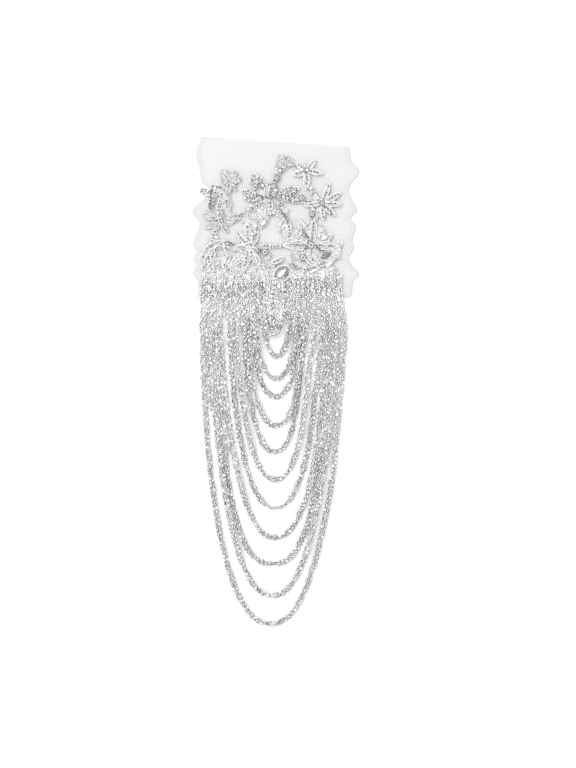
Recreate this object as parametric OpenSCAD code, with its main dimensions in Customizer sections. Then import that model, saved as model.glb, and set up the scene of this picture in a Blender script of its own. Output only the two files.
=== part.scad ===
// Crystal shoulder epaulette: a sheer net patch, a beaded lace applique on it, and nested swags of cup chain.
// It lies on its back with the front up (+Z). +Y points to the top edge of the net and +X to its right side.
// The origin is the middle of the whole piece, on the surface that it lies on.

/* [Net] */
// Width of bare net on each side of the lace, over the scallops
net_margin = 8.5; // [6:0.5:20]
// Height of the net patch, from its lower edge to its highest corner
net_h = 112.7; // [108:1:140]
// Thickness of the net
net_t = 1; // [0.8:0.1:2]

/* [Lace] */
// Width of the lace applique
lace_w = 100; // [85:1:104]
// Height of the lace's lower edge above the lower edge of the net
lace_rise = 11.2; // [9:0.2:16]
// Thickness of the embroidered plate
lace_t = 1; // [0.8:0.1:1.6]
// Thickness of the raised petals and leaves
petal_t = 0.9; // [0.6:0.1:1.5]
// Width of the embroidered edge that shows round a raised petal
lace_edge = 0.5; // [0.3:0.1:0.8]
// Growth of the plate that joins pieces of embroidery where only their corners meet
seam = 0.04; // [0.03:0.01:0.08]
// Width of the raised ring round a flower's centre
hub_w = 1.1; // [0.8:0.1:1.6]

/* [Crystals] */
// Diameter of the largest round crystal
round_d = 4.4; // [3.6:0.1:5]
// Length of the longest navette crystal
navette_l = 9; // [7:0.1:9.6]
// Width of the widest navette crystal
navette_w = 3.8; // [3:0.1:4.2]
// Length of the pear crystal
pear_l = 9; // [7:0.1:10]
// Width of the pear crystal
pear_w = 6; // [5:0.1:7]
// Height of a crystal as a share of its width
stone_rise = 0.42; // [0.3:0.01:0.55]
// Wall of a metal collet
collet_wall = 0.4; // [0.3:0.05:0.6]
// Thickness of a collet's floor
collet_floor = 0.35; // [0.3:0.05:0.6]
// Height of a collet's wall above its floor
collet_rise = 0.7; // [0.5:0.05:1]

/* [Chains] */
// Diameter of one cup of the chain
cup_d = 2.5; // [2.1:0.1:2.6]
// Width of the two strands of a swag, which lie close and turn round each other
pair_w = 4.4; // [3.8:0.1:4.5]
// Drop of the longest swag, from its ends to the middle of its strands
swag_drop = 237.3; // [225:1:260]
// How far the ends of the longest swag lie inside the sides of the lace
swag_inset = 0.5; // [0.5:0.5:4]
// Distance from the middle of the net to the middle of the chains, to the left
swag_shift = 0.8; // [0:0.1:3]
// How far the outermost right end is drawn in where it is sewn under the lace
draw_in = 4.8; // [0:0.2:6]
// Length of the chains over which their right ends are drawn in
draw_reach = 34; // [20:1:50]
// Distance of the chains' ends below the lower edge of the lace
chain_gap = 2; // [1.8:0.1:4]
// Gap between the bundle of short swags in the middle and the swags round it
bundle_gap = 1; // [0.8:0.1:3]
// How far below the net's lower edge a chain starts its climb from the surface onto the net
climb_start = 44; // [40:1:50]
// How far below the net's lower edge a chain ends that climb
climb_end = 30; // [26:1:34]
// Longest straight step along a swag
ring_step = 10; // [9:0.5:14]

/* [Fit] */
// Gap between pieces that lie on each other
layer_gap = 0.15; // [0.1:0.05:0.3]
// Gap between a crystal and its collet
stone_gap = 0.12; // [0.1:0.01:0.2]

/* [Hidden] */
MOTIFS = ["flower_left", "flower_right", "flower_corner", "star_top", "star_side", "rosette_top",
          "rosette_left", "bud_spray", "inner_leaf", "crossing_leaves", "scroll_leaves", "edge_leaves",
          "lower_leaves"];

// Scallops of the net's sides. A smooth wave joins the rows, which are its outermost and innermost places.
// Columns: distance down from the highest corner as a share of net_h, inset as a share of net_w.
LEFT_EDGE = [
    [0.000, 0.054], [0.087, 0.022], [0.273, 0.051], [0.329, 0.108], [0.472, 0.000], [0.537, 0.042],
    [0.671, 0.006], [0.708, 0.022], [0.764, 0.006], [0.795, 0.022], [0.851, 0.006], [0.910, 0.034],
    [1.000, 0.036]];
RIGHT_EDGE = [
    [0.062, 0.060], [0.143, 0.048], [0.211, 0.000], [0.335, 0.060], [0.463, 0.012], [0.506, 0.050],
    [0.559, 0.018], [0.646, 0.039], [0.693, 0.030], [0.755, 0.061], [0.860, 0.000], [0.910, 0.039],
    [0.985, 0.042], [1.000, 0.060]];
// Straight pieces that stand for the wave between two rows
EDGE_STEPS = 4;

// Swags of chain, shortest first. A swag's half width changes from its low value to its top value.
// Columns: drop as a share of swag_drop, low and top half width as shares of swag_half_w,
// sideways shift of the bottom as a share of swag_half_w, roundness of the bottom,
// and, for a swag that lies on its neighbours, where it climbs onto them: start and end as shares of
// its drop.
SWAGS = [
    [0.146, 0.170, 0.165, -0.02, 2.25, -1.00, -0.50],
    [0.212, 0.225, 0.235, 0.03, 2.00, 0, 0],
    [0.277, 0.320, 0.290, 0.02, 2.25, 0.03, 0.21],
    [0.330, 0.370, 0.350, 0.02, 2.25, 0, 0],
    [0.416, 0.430, 0.400, 0.02, 2.25, 0.00, 0.09],
    [0.493, 0.460, 0.455, 0.01, 2.25, 0, 0],
    [0.575, 0.540, 0.610, 0.01, 2.25, 0.06, 0.20],
    [0.658, 0.640, 0.670, 0.01, 2.25, 0, 0],
    [0.746, 0.730, 0.765, 0.01, 2.25, 0.08, 0.23],
    [0.823, 0.800, 0.850, -0.03, 2.60, 0, 0],
    [0.917, 0.840, 0.960, -0.03, 2.25, 0.06, 0.16],
    [1.000, 0.990, 1.015, -0.055, 2.25, 0, 0]];
// Power of a swag's height in its outline
SWAG_POWER = 2.15;
// Below 1, the steps along a swag are shorter toward its ends
STEP_POWER = 0.88;
// Section of a pair of strands. Columns: sideways and upward, as shares of its half width and half height.
PAIR_SECTION = [[1, -0.4], [1, 0.4], [0.6, 1], [-0.6, 1], [-1, 0.4], [-1, -0.4], [-0.6, -1], [0.6, -1]];

// Flowers. Centre columns: x and y in hundredths of lace_w, from the middle of the lace's lower edge;
// number of the round crystal in the centre, or 0.
// Petal columns: angle, length and width in hundredths of lace_w, 1 if raised.
FLOWERS = [
    [[-18.6, 23.1, 0], [[126, 15, 5.4, 1], [94, 18, 6, 1], [62, 13.5, 5.4, 1], [346, 7.2, 4, 1],
        [303, 15, 5.4, 1], [256, 16.5, 6, 1], [225, 19, 6, 1], [170, 19, 6.6, 1]]],
    [[24.9, 25.2, 1], [[84, 18.4, 6.6, 1], [117, 21, 6.6, 1], [180, 20, 7, 1], [212, 12, 5, 0],
        [276, 13, 6, 1], [330, 12, 5, 0], [358, 20, 6, 1], [25, 17, 8, 0]]],
    [[-46.4, 13.3, 0], [[138, 8, 5, 1], [100, 8.5, 4.6, 1], [62, 8.5, 4.6, 1], [8, 9.9, 5, 1],
        [-68, 7.5, 4.6, 1], [225, 7.4, 4.6, 1]]],
    [[22.1, 77.7, 11], [[52, 9.7, 3.8, 1], [-14, 11.5, 4.2, 1], [267, 14, 4.8, 1], [200, 10.5, 5.4, 1],
        [148, 9.4, 4.6, 1]]],
    [[32.6, 54.6, 12], [[74, 16, 4.6, 1], [30, 15.4, 5, 1], [-4, 14, 5, 1], [-48, 13, 4.6, 1],
        [273, 12.4, 4.2, 1], [140, 7.5, 3.6, 1], [187, 13, 4, 1]]],
    [[6, 83, 0], [[54, 5, 4.4, 1], [126, 6, 4.6, 1], [198, 6, 4.6, 1], [270, 4.6, 4.2, 1],
        [350, 7, 4.4, 1]]],
    [[-32.6, 69.3, 0], [[118, 10, 6, 1], [57, 9.1, 6, 1], [16, 8.9, 5, 1], [160, 5.6, 4.2, 1],
        [-49, 7.4, 4.2, 1], [264, 9.4, 5, 1]]],
    [[-13.7, 69.3, 0], [[96, 6.4, 5, 1], [165, 5, 3.8, 1], [40, 5, 3.8, 1]]]];
FLOWER_LEFT = 0;
FLOWER_RIGHT = 1;
FLOWER_CORNER = 2;
STAR_TOP = 3;
STAR_SIDE = 4;
ROSETTE_TOP = 5;
ROSETTE_LEFT = 6;
BUD = 7;

// Leaves. Columns: x, y, angle, length, width in hundredths of lace_w as above, 1 if raised.
BUD_LEAVES = [[-13.4, 58.6, 152, 12, 4.4, 1], [-12.6, 56.8, 172, 10, 3.4, 1]];
INNER_LEAVES = [[1.6, 59.6, 22, 16.6, 6.4, 1]];
CROSSING_LEAVES = [[7.0, 43.4, 238, 9.6, 4, 1], [8, 43.2, 283, 9.8, 4, 1], [-5.3, 45.2, 233, 10.8, 5.6, 0]];
SCROLL_LEAVES = [[-40.6, 43.4, 159, 12, 5, 1], [-40.4, 40.6, 197, 10, 4.4, 1], [-38, 40.6, 304, 8, 3.6, 1],
    [-35.2, 41.2, 30, 11.3, 5, 1], [-34.8, 59.4, 278, 10.6, 6.8, 1]];
EDGE_LEAVES = [[-43, 59.9, 157, 11.4, 4, 1], [-43.5, 60.3, 255, 11.4, 4, 1], [-43.4, 60, 61, 9, 3.6, 1]];
LOWER_LEAVES = [[-8.8, 7.4, -68, 8.6, 5, 1], [6, 16.8, 205, 10, 4.4, 1], [11.4, 7.2, 275, 6.8, 3.2, 1],
    [18.6, 6.4, 262, 6.4, 3.4, 1], [-32, 18.4, 240, 10.5, 4.6, 1], [-28, 6.4, 262, 6.6, 3.8, 1],
    [-39.4, 7.6, 285, 7.6, 4, 1]];

// Stems. Each has a width in hundredths of lace_w, then its points in the same measure as the leaves.
BUD_STEM = [2.4, [[-13.7, 69], [-14.4, 63.5], [-13, 57.5]]];
INNER_STEM = [2.6, [[1.4, 58.6], [8.2, 56.9], [14, 55.6]]];
CROSSING_STEMS = [
    [2.8, [[-4.6, 54.6], [0, 52.2], [3.4, 47.6], [7.6, 42.4]]],
    [2.4, [[4.6, 55.4], [0, 52.2], [-3.2, 49.6], [-5.4, 45]]]];
SCROLL_STEM = [3, [[-37, 58.8], [-39.9, 53.2], [-39.6, 45.4], [-37.8, 40]]];
// Stems that are flat embroidery only
FLAT_STEMS = [
    [3, [[-35.4, 40], [-28, 42.6], [-22, 48.3], [-15, 51.8], [-8, 54.8], [-3.4, 56]]],
    [3.4, [[-5, 53], [-4.2, 59.5], [-3, 66.5], [0, 72.6], [3.2, 77.4], [6, 82]]],
    [3, [[7, 83], [12, 82.6], [17, 80]]],
    [3, [[14, 55.8], [19, 56.4], [25, 55.4], [31, 55]]],
    [3.4, [[24.4, 66], [26.8, 60], [31, 55.4]]],
    [3, [[26, 54], [25.8, 47], [26.4, 42]]],
    [3.6, [[-40.5, 40], [-43.8, 31], [-46, 20]]],
    [3.4, [[-50, 20.6], [-45.2, 24.8], [-38.2, 27], [-32, 26.4]]],
    [3, [[-16, 20], [-9, 12], [-6, 10], [1, 10]]],
    [2.4, [[10.2, 13.3], [15.8, 9.3], [23, 8.4], [31, 12.2]]],
    [3, [[-38, 46], [-37, 52], [-36.4, 58]]],
    [3, [[-37, 60], [-40, 61.6], [-43, 60]]],
    [3, [[-8.4, 66.8], [-5, 67.4], [-2, 68]]],
    [3.4, [[-33.4, 12], [-36, 9.4], [-41, 10.6], [-46, 13]]],
    [3, [[-20, 6.4], [-27, 6.6], [-34, 8.6]]],
    [3, [[8, 42], [9.6, 34], [8, 26]]],
    [3.4, [[26, 14], [29.6, 10.4], [33.4, 9.4], [37, 12]]]];

// Round crystals. Columns: x and y as above, diameter as a share of round_d.
ROUND_CRYSTALS = [
    [24.9, 25.2, 1.00], [19.2, 16.6, 0.90], [18.4, 58.2, 0.78], [25.6, 46.9, 0.78], [-1.2, 60.9, 0.82],
    [-1, 66.4, 0.70], [1, 71.9, 0.70], [-7.4, 20.3, 0.90], [3.2, 77.2, 0.60], [-9, 66.8, 0.60],
    [22.1, 77.7, 0.60], [32.6, 54.6, 0.66]];
// Navette crystals. Columns: x, y and angle as above, length as a share of navette_l,
// width as a share of navette_w.
NAVETTE_CRYSTALS = [
    [37.6, 12.2, 50, 0.78, 0.74], [33.3, 4.2, 90, 1.00, 0.80], [27, 7.4, 30, 0.70, 0.64],
    [35.2, 18, 28, 0.92, 1.00], [34.2, 30.4, 30, 0.72, 0.78], [-8.4, 40.8, 233, 0.72, 0.80]];
// Pear crystal. Columns: x, y, and the angle of its point.
PEAR_CRYSTAL = [4.4, 5.6, 45];
// Number of facets round a cut crystal
FACETS = 10;
// Width of a crystal's table as a share of its width, and height of its girdle as a share of its height
TABLE_SHARE = 0.56;
GIRDLE_SHARE = 0.3;
// How much narrower a pear is toward its point than toward its round end
PEAR_TAPER = 0.3;
// Growth of a pear's half width and half length for each millimetre round it
PEAR_EDGE = 1.5;
// Growth of the embroidered pad under a navette, in edge widths
PAD_EDGES = 3;
// Corners of a flower's ring and of a collet
RING_STEPS = 16;
COLLET_STEPS = 32;
// Straight pieces of the short bundle's outline
BUNDLE_STEPS = 20;
// Length of a raised petal as a share of the embroidery under it
RAISED_SHARE = 0.86;
// Shape of a leaf: below 1, its widest place is nearer its base, and its sides are fuller
LEAF_SKEW = 0.92;
LEAF_FULLNESS = 0.8;
// Steps along one side of a leaf
LEAF_STEPS = 6;
// Steps between two points of a stem
STEM_STEPS = 3;

lace_unit = lace_w / 100;
net_w = lace_w + 2 * net_margin;
swag_half_w = lace_w / 2 - swag_inset;
// The bundle lies inside the shortest swags
bundle_half_w = swag_half_w * SWAGS[1][1] - pair_w / 2 - bundle_gap;
bundle_drop = swag_drop * SWAGS[0][0] - pair_w / 2 - bundle_gap;
// Lower edge of the net, set so that the whole piece is centred on the origin
net_y0 = -(net_h + lace_rise - chain_gap - swag_drop - pair_w / 2) / 2;
lace_y0 = net_y0 + lace_rise;
chain_y0 = lace_y0 - chain_gap;
// Heights of the layers
lace_z = net_t + layer_gap;
raised_z = lace_z + lace_t + layer_gap;
net_lift = net_t + layer_gap;
pile_lift = cup_d + layer_gap;

function swag_name(i) = str("chain_swag_", i < 9 ? "0" : "", i + 1);
SWAG_NAMES = [for (i = [0 : len(SWAGS) - 1]) swag_name(i)];
ROUND_NAMES = [for (i = [0 : len(ROUND_CRYSTALS) - 1]) str("round_crystal_", i + 1)];
NAVETTE_NAMES = [for (i = [0 : len(NAVETTE_CRYSTALS) - 1]) str("navette_crystal_", i + 1)];

// Smooth step from 0 at a to 1 at b
function ease(x, a, b) = let (t = min(1, max(0, (x - a) / (b - a)))) t * t * (3 - 2 * t);

// Wave through the rows of one scalloped side: a half cosine from each row to the next
function wave(rows) = concat(
    [for (i = [0 : len(rows) - 2], k = [0 : EDGE_STEPS - 1])
        let (t = k / EDGE_STEPS, a = rows[i], b = rows[i + 1])
        [a[0] + (b[0] - a[0]) * t, a[1] + (b[1] - a[1]) * (1 - cos(180 * t)) / 2]],
    [rows[len(rows) - 1]]);

// One side of the net in place; side is -1 on the left and 1 on the right
function net_side(rows, side) = [for (row = wave(rows))
    [side * net_w * (0.5 - row[1]), net_y0 + net_h * (1 - row[0])]];

// Half width of a leaf or petal along +X, as a share of its width: it is widest a little before the middle
function leaf_half(t) = pow(sin(180 * pow(t, LEAF_SKEW)), LEAF_FULLNESS) / 2;
function leaf_points(long, wide) = concat(
    [for (i = [0 : LEAF_STEPS - 1]) let (t = i / LEAF_STEPS) [t * long, leaf_half(t) * wide]],
    [for (i = [LEAF_STEPS : -1 : 1]) let (t = i / LEAF_STEPS) [t * long, -leaf_half(t) * wide]]);

// Curve through the points of a stem, and its tangent by the neighbours
function spline(a, b, c, d, t) = 0.5 * (2 * b + (c - a) * t + (2 * a - 5 * b + 4 * c - d) * t * t
    + (3 * b - a - 3 * c + d) * t * t * t);
function smooth(path) = let (last = len(path) - 1) concat(
    [for (i = [0 : last - 1], k = [0 : STEM_STEPS - 1])
        spline(path[max(0, i - 1)], path[i], path[i + 1], path[min(last, i + 2)], k / STEM_STEPS)],
    [path[last]]);
function unit(v) = v / norm(v);
function side_step(path, i) = let (last = len(path) - 1,
    t = unit(path[min(last, i + 1)] - path[max(0, i - 1)])) [-t[1], t[0]];
function stem_points(path, wide) = let (p = smooth(path), n = len(p)) concat(
    [for (i = [0 : n - 1]) p[i] + side_step(p, i) * wide / 2],
    [for (i = [n - 1 : -1 : 0]) p[i] - side_step(p, i) * wide / 2]);

// Outline of a swag at angle a, from -90 at its left end to 90 at its right end: a superellipse
// whose half width grows with the square of the height
function swag_v(a) = 1 - pow(cos(a), 2 / SWAG_POWER);
function swag_point(row, a) = let (
    v = swag_v(a),
    half = swag_half_w * (row[1] + (row[2] - row[1]) * v * v),
    wide = sign(a) * half * pow(abs(sin(a)), 2 / row[4]) + swag_half_w * row[3] * (1 - v * v),
    y = chain_y0 - swag_drop * row[0] * (1 - v),
    x = wide - swag_shift - draw_in * max(0, wide) / swag_half_w * ease(y, chain_y0 - draw_reach, chain_y0),
    on_net = net_lift * ease(y, net_y0 - climb_start, net_y0 - climb_end),
    on_pile = row[6] == 0 ? 0 : pile_lift * ease(v, row[5], row[6]))
    [x, y, cup_d / 2 + on_net + on_pile];
function swag_rings(row) = 2 * ceil((swag_drop * row[0] + swag_half_w * row[2]) / ring_step);
function swag_path(row) = let (n = swag_rings(row)) [for (i = [0 : n])
    let (t = 2 * i / n - 1) swag_point(row, 90 * sign(t) * pow(abs(t), STEP_POWER))];

// Pair of strands: the section carried along a path, level and square to it
module pair_tube(path) {
    n = len(path);
    m = len(PAIR_SECTION);
    points = [for (i = [0 : n - 1], s = PAIR_SECTION)
        let (side = side_step([for (p = path) [p[0], p[1]]], i))
        path[i] + [side[0] * s[0] * pair_w / 2, side[1] * s[0] * pair_w / 2, s[1] * cup_d / 2]];
    sides = [for (i = [0 : n - 2], j = [0 : m - 1])
        [i * m + j, (i + 1) * m + j, (i + 1) * m + (j + 1) % m, i * m + (j + 1) % m]];
    start_cap = [for (j = [0 : m - 1]) j];
    end_cap = [for (j = [m - 1 : -1 : 0]) (n - 1) * m + j];
    polyhedron(points, concat([start_cap], sides, [end_cap]));
}

// Place on the lace, in hundredths of its width
module on_lace(x, y, angle = 0) {
    translate([x * lace_unit, lace_y0 + y * lace_unit]) rotate(angle) children();
}

// Outline of a leaf or petal, grown by an edge all round
module leaf(long, wide, edge = 0) {
    translate([-edge, 0]) polygon(leaf_points(long * lace_unit + 2 * edge, wide * lace_unit + 2 * edge));
}

module raised_leaf(long, wide) {
    leaf(long * RAISED_SHARE, wide * RAISED_SHARE);
}

module leaves_flat(rows) {
    for (row = rows) on_lace(row[0], row[1], row[2]) leaf(row[3], row[4], lace_edge);
}

module leaves_raised(rows) {
    for (row = rows) if (row[5] == 1) on_lace(row[0], row[1], row[2]) raised_leaf(row[3], row[4]);
}

module stem(row, edge = 0) {
    on_lace(0, 0) polygon(stem_points([for (p = row[1]) p * lace_unit], row[0] * lace_unit + 2 * edge));
}

function crystal_d(i) = round_d * ROUND_CRYSTALS[i][2];
function collet_d(i) = crystal_d(i) + 2 * (stone_gap + collet_wall);
function hub_inner(number) = number == 0 ? 0 : collet_d(number - 1) / 2 + layer_gap;

module flower_flat(flower) {
    on_lace(flower[0][0], flower[0][1]) {
        circle(hub_inner(flower[0][2]) + hub_w + lace_edge, $fn = RING_STEPS);
        for (petal = flower[1]) rotate(petal[0]) leaf(petal[1], petal[2], lace_edge);
    }
}

module flower_raised(flower) {
    inner = hub_inner(flower[0][2]);
    on_lace(flower[0][0], flower[0][1]) difference() {
        union() {
            circle(inner + hub_w, $fn = RING_STEPS);
            for (petal = flower[1]) if (petal[3] == 1) rotate(petal[0]) raised_leaf(petal[1], petal[2]);
        }
        if (inner > 0) circle(inner, $fn = RING_STEPS);
    }
}

module raised() {
    translate([0, 0, raised_z]) linear_extrude(petal_t) children();
}

// Cut crystal with a flat back, from its outline: girdle wall, crown facets and table
module cut_crystal(outline, high) {
    n = len(outline);
    points = concat(
        [for (p = outline) [p[0], p[1], 0]],
        [for (p = outline) [p[0], p[1], high * GIRDLE_SHARE]],
        [for (p = outline) [p[0] * TABLE_SHARE, p[1] * TABLE_SHARE, high]]);
    walls = [for (k = [0, n], i = [0 : n - 1]) [k + i, k + n + i, k + n + (i + 1) % n, k + (i + 1) % n]];
    back = [for (i = [0 : n - 1]) i];
    table = [for (i = [n - 1 : -1 : 0]) 2 * n + i];
    polyhedron(points, concat([back], walls, [table]));
}

// Outlines of the crystals, FACETS points each: a circle, a pointed oval, and a drop with its point at +X
function circle_outline(d) = [for (i = [0 : FACETS - 1]) let (a = 360 * i / FACETS) d / 2 * [cos(a), sin(a)]];
function navette_outline(long, wide) = [for (i = [0 : FACETS - 1]) let (a = 360 * i / FACETS)
    [cos(a) * long / 2, sign(sin(a)) * pow(abs(sin(a)), 1.5) * wide / 2]];
function pear_outline(long, wide, edge = 0) = [for (i = [0 : FACETS - 1]) let (a = 360 * i / FACETS)
    [cos(a) * (long / 2 + edge), sin(a) * (wide / 2 + edge) * (1 - PEAR_TAPER * cos(a))]];

module round_crystal(i) {
    row = ROUND_CRYSTALS[i];
    color("#eef3f8") translate([0, 0, raised_z + collet_floor + stone_gap]) on_lace(row[0], row[1])
        cut_crystal(circle_outline(crystal_d(i)), crystal_d(i) * stone_rise);
}

module navette_crystal(i) {
    row = NAVETTE_CRYSTALS[i];
    wide = navette_w * row[4];
    color("#eef3f8") translate([0, 0, raised_z]) on_lace(row[0], row[1], row[2])
        cut_crystal(navette_outline(navette_l * row[3], wide), wide * stone_rise);
}

module pear_crystal() {
    row = PEAR_CRYSTAL;
    color("#eef3f8") translate([0, 0, raised_z + collet_floor + stone_gap]) on_lace(row[0], row[1], row[2])
        cut_crystal(pear_outline(pear_l, pear_w), pear_w * stone_rise);
}

// Collet: a floor with a wall round it
module collet(i) {
    row = ROUND_CRYSTALS[i];
    translate([0, 0, raised_z]) on_lace(row[0], row[1]) difference() {
        cylinder(h = collet_floor + collet_rise, d = collet_d(i), $fn = COLLET_STEPS);
        translate([0, 0, collet_floor])
            cylinder(h = collet_rise + 1, d = crystal_d(i) + 2 * stone_gap, $fn = COLLET_STEPS);
    }
}

module pear_collet() {
    row = PEAR_CRYSTAL;
    translate([0, 0, raised_z]) on_lace(row[0], row[1], row[2]) difference() {
        linear_extrude(collet_floor + collet_rise)
            polygon(pear_outline(pear_l, pear_w, PEAR_EDGE * (stone_gap + collet_wall)));
        translate([0, 0, collet_floor]) linear_extrude(collet_rise + 1)
            polygon(pear_outline(pear_l, pear_w, PEAR_EDGE * stone_gap));
    }
}

module crystal_settings() {
    color("#c9ccd1") {
        for (i = [0 : len(ROUND_CRYSTALS) - 1]) collet(i);
        pear_collet();
    }
}

module net_ground() {
    left = net_side(LEFT_EDGE, -1);
    right = net_side(RIGHT_EDGE, 1);
    color("#eeeef1") linear_extrude(net_t)
        polygon(concat(left, [for (i = [len(right) - 1 : -1 : 0]) right[i]]));
}

// Embroidered plate: every flower, leaf and stem with its edge, and a pad under each crystal
module lace_applique() {
    color("#dedee2") translate([0, 0, lace_z]) linear_extrude(lace_t) offset(delta = seam) {
        for (flower = FLOWERS) flower_flat(flower);
        for (rows = [BUD_LEAVES, INNER_LEAVES, CROSSING_LEAVES, SCROLL_LEAVES, EDGE_LEAVES, LOWER_LEAVES])
            leaves_flat(rows);
        for (row = concat([BUD_STEM, INNER_STEM, SCROLL_STEM], CROSSING_STEMS)) stem(row, lace_edge);
        for (row = FLAT_STEMS) stem(row);
        for (i = [0 : len(ROUND_CRYSTALS) - 1]) on_lace(ROUND_CRYSTALS[i][0], ROUND_CRYSTALS[i][1])
            circle(collet_d(i) / 2 + lace_edge, $fn = RING_STEPS);
        for (row = NAVETTE_CRYSTALS) on_lace(row[0], row[1], row[2])
            polygon(navette_outline(navette_l * row[3] + PAD_EDGES * lace_edge,
                                    navette_w * row[4] + PAD_EDGES * lace_edge));
        on_lace(PEAR_CRYSTAL[0], PEAR_CRYSTAL[1], PEAR_CRYSTAL[2])
            polygon(pear_outline(pear_l, pear_w, PEAR_EDGE * (stone_gap + collet_wall + lace_edge)));
    }
}

module motif(name) {
    color("#e6e6ea") raised() {
        if (name == "flower_left") flower_raised(FLOWERS[FLOWER_LEFT]);
        if (name == "flower_right") flower_raised(FLOWERS[FLOWER_RIGHT]);
        if (name == "flower_corner") flower_raised(FLOWERS[FLOWER_CORNER]);
        if (name == "star_top") flower_raised(FLOWERS[STAR_TOP]);
        if (name == "star_side") flower_raised(FLOWERS[STAR_SIDE]);
        if (name == "rosette_top") flower_raised(FLOWERS[ROSETTE_TOP]);
        if (name == "rosette_left") flower_raised(FLOWERS[ROSETTE_LEFT]);
        if (name == "bud_spray") {
            flower_raised(FLOWERS[BUD]);
            leaves_raised(BUD_LEAVES);
            stem(BUD_STEM);
        }
        if (name == "inner_leaf") {
            leaves_raised(INNER_LEAVES);
            stem(INNER_STEM);
        }
        if (name == "crossing_leaves") {
            leaves_raised(CROSSING_LEAVES);
            for (row = CROSSING_STEMS) stem(row);
        }
        if (name == "scroll_leaves") {
            leaves_raised(SCROLL_LEAVES);
            stem(SCROLL_STEM);
        }
        if (name == "edge_leaves") leaves_raised(EDGE_LEAVES);
        if (name == "lower_leaves") leaves_raised(LOWER_LEAVES);
    }
}

// Short swags close under the lace, as one flat tongue on the net's lower edge
module chain_bundle() {
    outline = [for (i = [0 : BUNDLE_STEPS]) let (a = 180 * i / BUNDLE_STEPS - 90, v = swag_v(a))
        [sign(a) * bundle_half_w * pow(abs(sin(a)), 2 / SWAGS[0][4]) - swag_shift,
         chain_y0 - bundle_drop * (1 - v)]];
    color("#c4c8ce") translate([0, 0, net_lift]) linear_extrude(cup_d) polygon(outline);
}

module chain_swag(i) {
    color("#c4c8ce") pair_tube(swag_path(SWAGS[i]));
}

net_ground();
lace_applique();
for (name = MOTIFS) motif(name);
crystal_settings();
pear_crystal();
chain_bundle();
for (i = [0 : len(ROUND_NAMES) - 1])
    round_crystal(i);
for (i = [0 : len(NAVETTE_NAMES) - 1])
    navette_crystal(i);
for (i = [0 : len(SWAG_NAMES) - 1])
    chain_swag(i);
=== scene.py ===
"""Dresses the crystal shoulder epaulette: sheer net, beaded corded lace, cut crystals and cup-chain swags."""

import math

import bpy
import numpy as np
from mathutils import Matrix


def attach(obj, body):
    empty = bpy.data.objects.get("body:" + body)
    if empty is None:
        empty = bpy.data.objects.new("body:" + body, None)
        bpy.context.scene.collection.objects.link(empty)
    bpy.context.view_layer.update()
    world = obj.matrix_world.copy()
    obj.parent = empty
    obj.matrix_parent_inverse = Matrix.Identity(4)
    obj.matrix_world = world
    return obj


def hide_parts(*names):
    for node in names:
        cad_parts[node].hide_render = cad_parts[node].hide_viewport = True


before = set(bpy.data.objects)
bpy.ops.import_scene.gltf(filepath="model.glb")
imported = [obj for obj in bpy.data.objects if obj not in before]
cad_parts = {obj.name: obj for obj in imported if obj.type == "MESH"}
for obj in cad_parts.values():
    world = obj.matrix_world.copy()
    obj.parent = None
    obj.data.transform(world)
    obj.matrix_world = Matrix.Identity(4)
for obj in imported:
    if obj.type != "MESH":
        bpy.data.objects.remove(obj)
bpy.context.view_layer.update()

bl_info = {
    "name": "Crystal shoulder epaulette",
    "version": (1, 0, 0),
    "blender": (4, 5, 0),
    "location": "View3D > Sidebar > Epaulette",
    "description": "Builds the net, lace, crystals and cup-chain swags of an epaulette on its CAD frame",
    "category": "Object",
}

MM = 0.001

# Places and sizes are in millimetres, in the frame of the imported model, where nothing else is said
NET_W = 117.0
NET_H = 112.7
NET_Y0 = 58.8
LACE_Y0 = 70.0
CHAIN_Y0 = 68.0
NET_THICK = 0.12
# Height of what lies on the net, and how much higher the upper layer of chains lies on the lower one
NET_LIFT = 1.15
PILE_LIFT = 2.65
# Height of the lace's flat petals and of its raised ones
FLAT_Z = NET_LIFT + 0.35
RAISED_Z = 2.3
LACE_HALF_W = 54
LACE_H = 92
MODEL_H = 6.3
# A cup with its prongs, from its middle; how high one strand lies on its pair; the roll of a strand on edge
CUP_HALF_H = 0.62
PAIR_STEP = 1.3
EDGE_ROLL = 1.45
# A petal's lines start and end at this share of its length, and have this many points
LEAF_END = 0.03
LEAF_STEPS = 15
# Toward which tone crowded copies are drawn, as painted light that evens out their shade, and how much of
# that a random facet takes
MIDDLE_TONE = 0.55
RANDOM_SHARE = 0.3
# The stage, in metres, with the lamp's power in watts. The camera looks straight down at the middle of the
# photo and sees its width, which is 576 pixels of 0.7 mm.
FLOOR_HALF = 3.0
SKY_STRENGTH = 0.75
LAMP = (-0.55, 0.5, 1.35)
LAMP_WIDTH = 1.5
LAMP_POWER = 17
CAMERA_PLACE = (0.00875, -0.00175, 1.3)
WIDTH_SEEN = 0.4032

# Scallops of the net's sides. Columns: distance down as a share of NET_H, inset as a share of NET_W.
LEFT_EDGE = np.array([
    [0.000, 0.054], [0.087, 0.022], [0.273, 0.051], [0.329, 0.108], [0.472, 0.000], [0.537, 0.042],
    [0.671, 0.006], [0.708, 0.022], [0.764, 0.006], [0.795, 0.022], [0.851, 0.006], [0.910, 0.034],
    [1.000, 0.036]])
RIGHT_EDGE = np.array([
    [0.062, 0.060], [0.143, 0.048], [0.211, 0.000], [0.335, 0.060], [0.463, 0.012], [0.506, 0.050],
    [0.559, 0.018], [0.646, 0.039], [0.693, 0.030], [0.755, 0.061], [0.860, 0.000], [0.910, 0.039],
    [0.985, 0.042], [1.000, 0.060]])

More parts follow.
